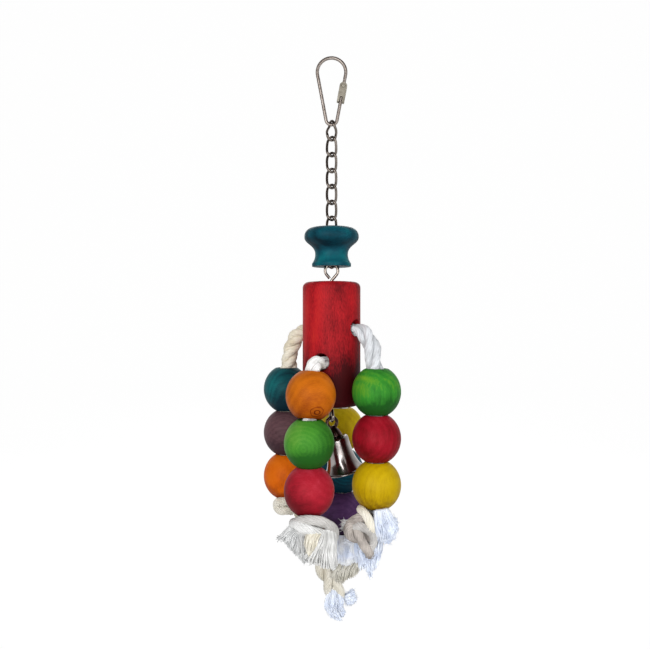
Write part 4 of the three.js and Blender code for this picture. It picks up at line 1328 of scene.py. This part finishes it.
side = [(DOWEL_RADIUS, z) for z in np.linspace(DOWEL_TOP - DOWEL_EDGE, DOWEL_FOOT + DOWEL_EDGE, 26)]
top_round = rounded_end(DOWEL_TOP, 1)[::-1]
foot_round = rounded_end(DOWEL_FOOT, -1)
dowel_profile = [
    (DOWEL_CENTRE_DOT, DOWEL_TOP), *top_round[:-1], *side, *foot_round[1:], (DOWEL_CENTRE_DOT, DOWEL_FOOT),
]
# The dowel's lower part darkens strongly, down to the darkest extra shade: a painted shadow of the beads
# that hang in front of it.
dowel_red = stained_wood(
    "dowel_stain", ("#620911", "#AB1A21", "#BF2D25"), Vector((-5, 22, -120)) * MM, trunk=(3, -5, 0),
    lean=(-7, 0, 3), ring_spacing=0.0042, ring_wave=2.5, rings=0.07, streaks=0.132, streak_width=0.0015,
    blotches=0.24, speckle=0.3, ends=(-0.133, 46 * MM, 1.3, 3), bands=((-0.1155, 9 * MM, -0.14),),
    painted_shadow="#3C070C",
)
dowel = turned("dowel_block", dowel_profile, 96, dowel_red)
drill = [
    (DRILL_CENTRE_DOT, -DRILL_HALF), (ROPE_HOLE, -DRILL_HALF),
    (ROPE_HOLE, DRILL_HALF), (DRILL_CENTRE_DOT, DRILL_HALF),
]
cutters = []
for string in ("right", "front"):
    mouth, outwards, _ = string_plane(string)
    middle = mouth - outwards * DOWEL_RADIUS
    cutter = turned("cutter", drill, 48)
    cutters.append(moved(cutter, along_axis(middle, outwards)))
drilled(dowel, cutters)
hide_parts("dowel")
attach(dowel, "dowel")
print("dowel faces", len(dowel.data.polygons))

# %% [markdown]
# ## Knob
# The knob is a turned spool: a rounded crown, a hollow waist, and a square foot. Its outline is two Bezier
# curves. Bands of tone lie round it: a darker one under the crown, which is painted shade, and a paler one
# on the waist.


# %% Knob
def bezier_to(a, b, c, count=14):
    """A curve with one control point, written as one with two."""
    a, b, c = (np.array(p, float) for p in (a, b, c))
    return curve_points(a, a + (b - a) * 2 / 3, c + (b - c) * 2 / 3, c, count)


KNOB_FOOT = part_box("knob")[0][2]
knob_outline = np.concatenate([
    [(9.95, 0), (10.15, 0.2), (10.15, 1.2)],
    bezier_to((10.15, 1.6), (8.5, 4.0), (8.5, 6.4)),
    curve_points((8.5, 6.4), (8.5, 11.3), (14.15, 11.7), (14.15, 15.3))[1:],
    bezier_to((14.15, 15.3), (14.15, 20.4), (7.5, 20.4))[1:],
    [(4.6, 20.4), (3.9, 19.9), (3.9, 10), (3.9, 0.5), (4.4, 0)],
]) * MM
# The first band darkens the wood under the crown: painted shade.
knob_teal = stained_wood(
    "knob_stain", ("#02202B", "#07414F", "#0A6068"), Vector((0, 30, -96)) * MM, trunk=(0, 84, 5),
    lean=(4, 0, 0), ring_spacing=0.005, ring_wave=2.5, rings=0.1, streaks=0.2, streak_width=0.0022,
    blotches=0.22, roughness=0.48, bands=((-0.0955, 5.5 * MM, -0.3), (-0.1035, 6 * MM, 0.26)),
)
knob = turned("knob_turned", knob_outline + np.array([0, KNOB_FOOT]), 96, knob_teal)
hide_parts("knob")
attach(knob, "knob")
print("knob foot at", round(KNOB_FOOT / MM, 2))

# %% [markdown]
# ## Metal
# The clip and chain are plated steel wire that has dulled, the screw eyes and the bell's shell are bright
# chrome, and the bell's crown is painted a dark reddish brown, a painted reflection of the dark surroundings
# it mirrors. One group gives soft clouding and fine scratches; each metal mixes two shades with it and takes
# a little of its roughness from it.


# %% Metal finish
def wear_group():
    tree, given, result = new_group(
        "Metal wear",
        "ShaderNodeTree",
        [("Vector", "NodeSocketVector", None), ("Cloud scale", "NodeSocketFloat", 300.0)],
        [("Tone", "NodeSocketFloat"), ("Height", "NodeSocketFloat")],
    )
    clouds = add_node(
        tree, "ShaderNodeTexNoise", {"Vector": given["Vector"], "Scale": given["Cloud scale"], "Detail": 3.0}
    )
    fine = add_node(tree, "ShaderNodeTexNoise", {"Vector": given["Vector"], "Scale": 4200.0, "Detail": 2.0})
    tree.links.new(clouds.outputs["Fac"], result["Tone"])
    tree.links.new(fine.outputs["Fac"], result["Height"])
    return tree


WEAR = wear_group()


def metal(name, dark, light, smooth, rough, grain=0.05, cloud_scale=300.0):
    material, tree, shader = new_material(name)
    place = add_node(tree, "ShaderNodeTexCoord").outputs["Object"]
    sockets = {"Vector": place, "Cloud scale": cloud_scale}
    wear = add_node(tree, "ShaderNodeGroup", sockets, node_tree=WEAR)
    tone = wear.outputs["Tone"]
    tree.links.new(colour_steps(tree, tone, [(0.35, dark), (0.65, light)]), shader.inputs["Base Color"])
    spread = add_node(tree, "ShaderNodeMapRange", {0: tone, 1: 0.3, 2: 0.7, 3: rough, 4: smooth})
    tree.links.new(spread.outputs[0], shader.inputs["Roughness"])
    shader.inputs["Metallic"].default_value = 1.0
    add_bump(tree, shader, wear.outputs["Height"], grain, 0.05 * MM)
    return material


CLIP_STEEL = metal("clip_steel_dull", "#847B74", "#958D87", 0.33, 0.38, 0.04)
CLASP_ZINC = metal("clasp_zinc", "#8B867A", "#A5A094", 0.55, 0.68, 0.2)
CHAIN_NICKEL = metal("chain_nickel_dull", "#59524C", "#7E766F", 0.2, 0.36, 0.12)
CHROME = metal("eye_chrome_bright", "#857C74", "#A9A098", 0.08, 0.16, 0.02)
BELL_CHROME = metal("bell_chrome_bright", "#807A78", "#A29D9B", 0.15, 0.24, 0.03, 160.0)
# The crown's dark brown is a painted reflection of the dark surroundings.
BELL_CROWN_PAINTED_REFLECTION = metal("bell_crown_painted_reflection", "#3E2C2A", "#5E4844", 0.2, 0.34, 0.05, 160.0)
METALS = (CLIP_STEEL, CLASP_ZINC, CHAIN_NICKEL, CHROME, BELL_CHROME, BELL_CROWN_PAINTED_REFLECTION)
print("metals", len(METALS))

# %% [markdown]
# ## Chain
# A curb chain: each link is a ring with straight legs, twisted so that its two bows stand at right angles.
# Geometry Nodes make one link from its inner size, wire and twist: a rounded rectangle is stood up, its
# points are turned about the chain by their height, and a round wire is swept along it. The first link
# twists only in its legs, because flat bows leave more room for the clip.

# %% Link tree
LINK_POINTS, LINK_SIDES, BOW_POINTS = 96, 16, 14
BOW_SHARE = 0.4999  # of the width; a full half would leave points on top of each other


def link_tree():
    tree, given, result = new_group(
        "Twisted link",
        "GeometryNodeTree",
        [
            ("Carrier", "NodeSocketGeometry", None),
            ("Inner width", "NodeSocketFloat", 0.0034),
            ("Inner length", "NodeSocketFloat", 0.00857),
            ("Wire", "NodeSocketFloat", 0.0014),
            ("Twist", "NodeSocketFloat", 0.785),
            ("Twist reach", "NodeSocketFloat", 1.0),
            ("Material", "NodeSocketMaterial", None),
        ],
        [("Link", "NodeSocketGeometry")],
    )
    width = math_node(tree, "ADD", given["Inner width"], given["Wire"])
    length = math_node(tree, "ADD", given["Inner length"], given["Wire"])
    frame_curve = add_node(
        tree, "GeometryNodeCurvePrimitiveQuadrilateral", {"Width": width, "Height": length}
    )
    bow = math_node(tree, "MULTIPLY", width, BOW_SHARE)
    rounded = add_node(
        tree,
        "GeometryNodeFilletCurve",
        {"Curve": frame_curve.outputs[0], "Count": BOW_POINTS, "Radius": bow},
        mode="POLY",
    )
    even = add_node(tree, "GeometryNodeResampleCurve", {"Curve": rounded.outputs[0], "Count": LINK_POINTS})
    upright = add_node(
        tree, "GeometryNodeTransform", {"Geometry": even.outputs[0], "Rotation": (math.pi / 2, 0.0, 0.0)}
    )
    place = add_node(tree, "GeometryNodeInputPosition").outputs[0]
    height = add_node(tree, "ShaderNodeSeparateXYZ", {0: place}).outputs["Z"]
    half = math_node(tree, "MULTIPLY", length, 0.5)
    reach = math_node(tree, "MULTIPLY", half, given["Twist reach"])
    share = add_node(
        tree,
        "ShaderNodeMapRange",
        {0: math_node(tree, "ABSOLUTE", height), 1: 0.0, 2: reach, 3: 0.0, 4: given["Twist"]},
    )
    way = math_node(tree, "MULTIPLY", math_node(tree, "SIGN", height), -1.0)
    angle = math_node(tree, "MULTIPLY", share.outputs[0], way)
    turn = add_node(
        tree, "ShaderNodeVectorRotate", {"Vector": place, "Angle": angle}, rotation_type="Z_AXIS"
    )
    twisted = add_node(
        tree, "GeometryNodeSetPosition", {"Geometry": upright.outputs[0], "Position": turn.outputs[0]}
    )
    wire_radius = math_node(tree, "MULTIPLY", given["Wire"], 0.5)
    section = add_node(
        tree, "GeometryNodeCurvePrimitiveCircle", {"Resolution": LINK_SIDES, "Radius": wire_radius}
    )
    wire = add_node(
        tree, "GeometryNodeCurveToMesh", {"Curve": twisted.outputs[0], "Profile Curve": section.outputs[0]}
    )
    finish_tree(tree, wire.outputs[0], given["Material"], result[0])
    return tree


# %% Chain links
LINKS = link_tree()
LINK_TURNS = (-16, -8, 0, 0, 0, 0, 0, 5, 10)
FULL_REACH = 1.0  # of a link's half length
TWIST_REACHES = {1: 0.5}
for number, turn in enumerate(LINK_TURNS, 1):
    node = f"chain_link_{number}"
    low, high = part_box(node)
    middle = Vector((0, 0, (low[2] + high[2]) / 2))
    carrier = placed("carrier", bpy.data.meshes.new("carrier"))
    values = {
        "Inner width": 3.4 * MM,
        "Inner length": 8.57 * MM,
        "Wire": 1.4 * MM,
        "Twist": math.radians(45),
        "Twist reach": TWIST_REACHES.get(number, FULL_REACH),
        "Material": CHAIN_NICKEL,
    }
    link = made_by_nodes(f"{node}_wire", carrier, LINKS, values)
    moved(link, Matrix.Translation(middle) @ Matrix.Rotation(math.radians(turn), 4, "Z"))
    outward(link)
    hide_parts(node)
    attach(link, f"link_{number}")
print("links", len(LINK_TURNS))

# %% [markdown]
# ## Clip
# The clip is one bent wire in a pear shape. Its right leg is closed by a small clasp, folded from sheet into
# a channel, that turns on a rivet and drops its notch over the lower wire end.


# %% Clip wire
def upright_arc(centre, radius, start, end, count=40):
    """Points on an arc in the XZ plane, with angles from +X towards +Z."""
    angles = np.linspace(start, end, count)
    return np.stack([radius * np.cos(angles), 0 * angles, centre + radius * np.sin(angles)], 1)


CLIP_TOP, CLIP_BOTTOM = -6.5, -30.9
TOP_BEND, BOTTOM_BEND = 7.4, 2.9
CLIP_WIRE = 0.9
RIVET_DOWN, WIRE_END_DOWN = 6.2, 11.25
LEG_LEAN = math.asin((TOP_BEND - BOTTOM_BEND) / (CLIP_TOP - CLIP_BOTTOM))
leg_top = np.array([TOP_BEND * math.cos(LEG_LEAN), 0, CLIP_TOP - TOP_BEND * math.sin(LEG_LEAN)])
leg_down = np.array([-math.sin(LEG_LEAN), 0, -math.cos(LEG_LEAN)])
RIVET = leg_top + RIVET_DOWN * leg_down
WIRE_END = leg_top + WIRE_END_DOWN * leg_down

clip_path = np.concatenate([
    [RIVET],
    upright_arc(CLIP_TOP, TOP_BEND, -LEG_LEAN, math.pi + LEG_LEAN, 80),
    upright_arc(CLIP_BOTTOM, BOTTOM_BEND, math.pi + LEG_LEAN, 2 * math.pi - LEG_LEAN),
    [WIRE_END],
])
clip_wire = swept("clip_bent_wire", evenly(clip_path * MM, 0.4 * MM), CLIP_WIRE * MM, 20, CLIP_STEEL)
lug_profile = np.array([(0.8, -0.8), (1.5, -0.8), (1.5, 0.8), (0.8, 0.8)]) * MM
lug = turned("lug", softened(lug_profile, 2), 32)
rivet_turn = along_axis(Vector(RIVET) * MM, Vector((0, 1, 0)))
moved(lug, rivet_turn)
clip = joined("clip_pear", [clip_wire, lug], CLIP_STEEL)
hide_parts("clip_wire")
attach(clip, "clip")
print("clip wire", round(path_length(clip_path), 1), "mm long")


# %% Clasp and rivet
def slab(name, outline, low, high):
    """A flat outline in the XZ plane, thickened along Y."""
    count = len(outline)
    vertices = [(x, y, z) for y in (low, high) for x, z in outline]
    faces = [tuple(range(count)), tuple(range(2 * count - 1, count - 1, -1))]
    faces += [(i, (i + 1) % count, count + (i + 1) % count, count + i) for i in range(count)]
    return outward(mesh_object(name, np.array(vertices) * MM, faces))


def half_round(radius, centre, count=14):
    angles = np.linspace(0, math.pi, count)
    return [(radius * math.cos(a), centre + radius * math.sin(a)) for a in angles]


CLASP_HALF, CLASP_DEPTH, CLASP_FOOT = 1.95, 1.7, -8.45
HOLLOW_HALF, HOLLOW_STEP = 1.2, -2.25
NOTCH_HALF, NOTCH_RISE = 0.75, 2.2
clasp_turn = Matrix.Translation(Vector(RIVET) * MM) @ Matrix.Rotation(LEG_LEAN, 4, "Y")
clasp = slab(
    "clasp_folded",
    [*half_round(CLASP_HALF, 0, 22), (-CLASP_HALF, CLASP_FOOT), (CLASP_HALF, CLASP_FOOT)],
    -CLASP_DEPTH,
    CLASP_DEPTH,
)
channel_outline = [(-1.45, HOLLOW_STEP), (-1.45, -9), (3, -9), (3, HOLLOW_STEP)]
channel = slab("channel", channel_outline, -HOLLOW_HALF, HOLLOW_HALF)
eyelet_outline = [(-3, HOLLOW_STEP), (3, HOLLOW_STEP), (3, 3), (-3, 3)]
eyelet = slab("eyelet", eyelet_outline, -HOLLOW_HALF, HOLLOW_HALF)
notch_top = half_round(NOTCH_HALF, CLASP_FOOT + NOTCH_RISE)
notch = slab("notch", [(NOTCH_HALF, -10), *notch_top, (-NOTCH_HALF, -10)], -3, 3)
clasp.data.materials.append(CLASP_ZINC)
drilled(clasp, [channel, eyelet, notch])
edge = clasp.modifiers.new("edge", "BEVEL")
edge.width = 0.12 * MM
edge.segments = 2
edge.limit_method = "ANGLE"
moved(clasp, clasp_turn)
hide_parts("clip_clasp")
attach(clasp, "clasp")

head = [(1.0, 2.0), (1.0, 2.15), (0.8, 2.4), (0.4, 2.5), (0.05, 2.5)]
half = [(0.5, 0.0), (0.5, 1.95), *head]
rivet_profile = np.array([*half, *[(r, -h) for r, h in half[::-1]]])
rivet = turned("clasp_rivet", rivet_profile * MM, 28, CLASP_ZINC, 30)
moved(rivet, rivet_turn)
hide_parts("clip_rivet")
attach(rivet, "clip")
print("clasp faces", len(clasp.data.polygons))

# %% [markdown]
# ## Screw eyes
# Each screw eye is one wire: a shank in the wood that runs up round a loop and stops just short of itself.

# %% Screw eyes
EYE_SHANK, EYE_GAP = 14, 0.3
TOP_EYE_HEIGHT, BOTTOM_EYE_HEIGHT = -109.53, -185.13
BOTTOM_EYE_TURN = 107.5


def eye_path(wire, radius, stand):
    """The line of a screw eye round the origin, which stands that far above the wood."""
    neck = wire / 2 - stand
    half = math.asin(radius / -neck)
    short = (wire + EYE_GAP) / (2 * math.sin(half))
    end = (-short * math.sin(half), 0, neck + short * math.cos(half))
    ring = upright_arc(0, radius, -half, math.pi + half, 60)
    return np.concatenate([[(0, 0, -stand - EYE_SHANK), (0, 0, neck)], ring, [end]])


upside_down = Matrix.Rotation(math.radians(BOTTOM_EYE_TURN), 4, "Z") @ Matrix.Rotation(math.pi, 4, "X")
SCREW_EYES = {
    "top_screw_eye": ("top_eye_wire", 1.6, 3.3, 6, TOP_EYE_HEIGHT, Matrix.Identity(4)),
    "bottom_screw_eye": ("bottom_eye_wire", 1.4, 2.5, 5.6, BOTTOM_EYE_HEIGHT, upside_down),
}
for node, (name, wire, radius, stand, height, turn) in SCREW_EYES.items():
    eye = swept(name, evenly(eye_path(wire, radius, stand) * MM, 0.3 * MM), wire / 2 * MM, 18, CHROME)
    moved(eye, Matrix.Translation(Vector((0, 0, height)) * MM) @ turn)
    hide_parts(node)
    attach(eye, "dowel")
    print(node, "with a loop of", 2 * radius, "mm")

# %% [markdown]
# ## Bell
# A small cast crown with a ring and a collar carries a spun shell with a broad shoulder, a flare and a
# rolled lip, open below, with a clapper inside. Depths run down the bell's own axis, from the middle of the
# ring, and the bell hangs askew between the strings as it does in the photograph.

# %% Bell
BELL_TURN, BELL_LEAN, BELL_DROP = 17.5, -15, -0.8
bell_turn = (
    Matrix.Translation(joint_place("bell_swing"))
    @ Matrix.Rotation(math.radians(BELL_TURN), 4, "Z")
    @ Matrix.Rotation(math.radians(BELL_LEAN), 4, "Y")
    @ Matrix.Translation(Vector((0, 0, BELL_DROP)) * MM)
)


def wire_ring(name, radius, wire, centre, material):
    """A closed ring of wire in the XZ plane."""
    angles = np.linspace(0, 2 * math.pi, 17)[:-1]
    profile = np.stack([radius + wire / 2 * np.cos(angles), wire / 2 * np.sin(angles)], 1) * MM
    ring = turned(name, profile, 56, material)
    stand = Matrix.Translation(Vector((0, 0, centre)) * MM) @ Matrix.Rotation(math.pi / 2, 4, "X")
    return moved(ring, stand)


collar = np.array([
    (1.0, -2.2), (1.4, -2.6), (1.9, -3.3), (2.5, -4.1), (3.0, -5.0), (3.4, -6.0), (3.6, -6.6),
    (3.6, -7.0), (3.45, -7.1), (1.0, -7.1), (1.0, -9.0), (0.1, -9.0), (0.1, -2.2),
]) * MM
crown_parts = [
    wire_ring("ring", 2.65, 1.7, 0, BELL_CHROME),
    turned("collar", softened(collar), 48, BELL_CHROME),
    wire_ring("eye", 1.25, 0.9, -10.25, BELL_CHROME),
]
crown = joined("bell_crown_cast", crown_parts, BELL_CROWN_PAINTED_REFLECTION)

BELL_TOP, BELL_RIM = -7.4, -26.0
BELL_SHOULDER, BELL_MOUTH = 6.4, 10.3
BELL_WALL, BELL_EDGE = 0.8, 1.8
FLARE_EVEN, FLARE_POWER = 0.12, 3.4
BELL_LIP = ((0.25, 0.3), (0.3, -0.2), (-0.1, -0.45), (-0.6, -0.3))
BELL_HOLE = 1.3
BELL_CREASE = 50


def bell_side(shoulder, rim, top):
    """One side of the shell's wall: a rounded shoulder, a straight waist and a flare."""
    bends = np.linspace(math.pi / 2, 0, 9)[:-1]
    edge = [(shoulder + BELL_EDGE * (math.cos(a) - 1), top + BELL_EDGE * (math.sin(a) - 1)) for a in bends]
    shares = np.linspace(0, 1, 30)
    flare = FLARE_EVEN * shares + (1 - FLARE_EVEN) * shares**FLARE_POWER
    depths = top - BELL_EDGE + shares * (BELL_RIM - top + BELL_EDGE)
    return [*edge, *np.stack([shoulder + (rim - shoulder) * flare, depths], 1)]


outside = bell_side(BELL_SHOULDER, BELL_MOUTH, BELL_TOP)
inside = bell_side(BELL_SHOULDER - BELL_WALL, BELL_MOUTH - BELL_WALL, BELL_TOP - BELL_WALL)[::-1]
lip = [(BELL_MOUTH + out, BELL_RIM + up) for out, up in BELL_LIP]
hole = [(BELL_HOLE, BELL_TOP - BELL_WALL), (BELL_HOLE, BELL_TOP)]
shell_profile = softened(np.array([*outside[:-1], *lip, *inside, *hole]) * MM)
shell = turned("bell_shell_spun", shell_profile, 96, BELL_CHROME, BELL_CREASE)

CLAPPER_BALL, CLAPPER_DEPTH = 2.1, -16.5
ball_angles = np.linspace(-1.45, 1.45, 17)
ball = [(CLAPPER_BALL * math.cos(a), CLAPPER_DEPTH + CLAPPER_BALL * math.sin(a)) for a in ball_angles]
rod = [(0.4, -14.2), (0.4, -12.0), (0.05, -12.0), (0.05, -18.6)]
drop = turned("ball", np.array([*ball, *rod]) * MM, 32, BELL_CHROME)
clapper_ring = wire_ring("loop", 1.2, 0.8, 0, BELL_CHROME)
moved(clapper_ring, Matrix.Translation(Vector((0, 0, -11.55)) * MM) @ Matrix.Rotation(math.pi / 2, 4, "Z"))
clapper = joined("bell_clapper_drop", [drop, clapper_ring], BELL_CHROME)

for piece, node, body in (
    (crown, "bell_crown", "bell"),
    (shell, "bell_shell", "bell"),
    (clapper, "bell_clapper", "clapper"),
):
    moved(piece, bell_turn)
    piece.data.set_sharp_from_angle(angle=math.radians(BELL_CREASE))
    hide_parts(node)
    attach(piece, body)
print("bell faces", len(crown.data.polygons) + len(shell.data.polygons))

# %% [markdown]
# ## Floor and light
# The toy hangs in front of plain white. The floor curves up into a backdrop; it mixes a white glow with a
# matt white, so that it stays pale and still takes a soft shadow. The world is white to the camera and
# dimmer as light, so that the sides of the beads fall off. Metal sees a dim room in front and white behind.


# %% Floor and backdrop
def backdrop_finish():
    material = bpy.data.materials.new("white_backdrop")
    material.use_nodes = True
    tree = material.node_tree
    tree.nodes.remove(tree.nodes["Principled BSDF"])
    rays = add_node(tree, "ShaderNodeLightPath").outputs
    seen = math_node(tree, "MAXIMUM", rays["Is Camera Ray"], rays["Is Glossy Ray"])
    seen = math_node(tree, "MAXIMUM", seen, rays["Is Transmission Ray"])
    glow = add_node(tree, "ShaderNodeEmission", {"Color": (1, 1, 1, 1), "Strength": 1.04})
    bounce = add_node(
        tree, "ShaderNodeMapRange", {0: rays["Is Diffuse Ray"], 1: 0.0, 2: 1.0, 3: 0.86, 4: 0.5}
    )
    matt = add_node(tree, "ShaderNodeBsdfDiffuse", {"Color": bounce.outputs[0]})
    amount = math_node(tree, "MULTIPLY", seen, 0.92)
    both = add_node(tree, "ShaderNodeMixShader", {0: amount, 1: matt.outputs[0], 2: glow.outputs[0]})
    tree.links.new(both.outputs[0], tree.nodes["Material Output"].inputs["Surface"])
    return material


FLOOR, FLOOR_REACH, WALL_TOP = -0.37, 3.0, 2.4
CORNER_START, CORNER_BEND = 1.0, 0.5
bend = np.linspace(-math.pi / 2, 0, 13)
corner = [
    (CORNER_START + CORNER_BEND * math.cos(a), FLOOR + CORNER_BEND + CORNER_BEND * math.sin(a)) for a in bend
]
sweep_line = [(-FLOOR_REACH, FLOOR), *corner, (CORNER_START + CORNER_BEND, WALL_TOP)]
vertices = [(x, y, z) for x in (-FLOOR_REACH, FLOOR_REACH) for y, z in sweep_line]
count = len(sweep_line)
faces = [(i, count + i, count + i + 1, i + 1) for i in range(count - 1)]
mesh_object("floor_and_backdrop", vertices, faces, backdrop_finish())
print("floor at", FLOOR / MM, "mm")

# %% World
world = bpy.data.worlds.new("studio")
bpy.context.scene.world = world
world.use_nodes = True
tree = world.node_tree
rays = add_node(tree, "ShaderNodeLightPath").outputs
way = add_node(tree, "ShaderNodeTexCoord").outputs["Generated"]
depth = add_node(tree, "ShaderNodeSeparateXYZ", {0: way}).outputs["Y"]
room = add_node(tree, "ShaderNodeMapRange", {0: depth, 1: -0.15, 2: 0.35, 3: 0.0, 4: 1.0}).outputs[0]
mirrored = colour_steps(tree, room, [(0.0, "#4A3631"), (1.0, "#FFFFFF")])
lit = add_node(tree, "ShaderNodeBackground", {"Color": (1, 1, 1, 1), "Strength": 0.42})
reflected = add_node(tree, "ShaderNodeBackground", {"Color": mirrored, "Strength": 1.0})
seen = add_node(tree, "ShaderNodeBackground", {"Color": (1, 1, 1, 1), "Strength": 1.0})
unseen = add_node(
    tree, "ShaderNodeMixShader", {0: rays["Is Glossy Ray"], 1: lit.outputs[0], 2: reflected.outputs[0]}
)
both = add_node(
    tree, "ShaderNodeMixShader", {0: rays["Is Camera Ray"], 1: unseen.outputs[0], 2: seen.outputs[0]}
)
tree.links.new(both.outputs[0], tree.nodes["World Output"].inputs["Surface"])
print("world nodes", len(tree.nodes))


# %% Lamps
def softbox(name, place, target, size, power):
    data = bpy.data.lights.new(name, "AREA")
    data.shape = "RECTANGLE"
    data.size, data.size_y = size
    data.energy = power
    lamp = placed(name, data)
    lamp.location = place
    aim = Vector(target) - Vector(place)
    lamp.rotation_euler = aim.to_track_quat("-Z", "Y").to_euler()


# Each lamp has a place, a target, a size and a power
MIDDLE, YARN_ENDS = (0, 0, -0.17), (0, 0, -0.27)
LAMPS = {
    "key": ((-0.45, -1.05, 0.08), MIDDLE, (0.6, 0.6), 7.2),
    "fill": ((0.7, -0.8, 0.0), MIDDLE, (0.7, 0.9), 4.4),
    "rear": ((0.0, 1.0, 0.3), MIDDLE, (0.9, 0.7), 4.0),
    "low": ((0.05, -0.8, -0.27), YARN_ENDS, (0.5, 0.16), 1.4),
}
for name, (place, target, size, power) in LAMPS.items():
    softbox(name, place, target, size, power)
bpy.context.scene.view_settings.view_transform = "Standard"
print("lamps", len(LAMPS))

# %% [markdown]
# The last cell goes over the four ropes again, from the mouth of each one's hole.

# %% Ropes at the end
for string, (rope, path) in ropes.items():
    mouth, _, _ = string_plane(string)
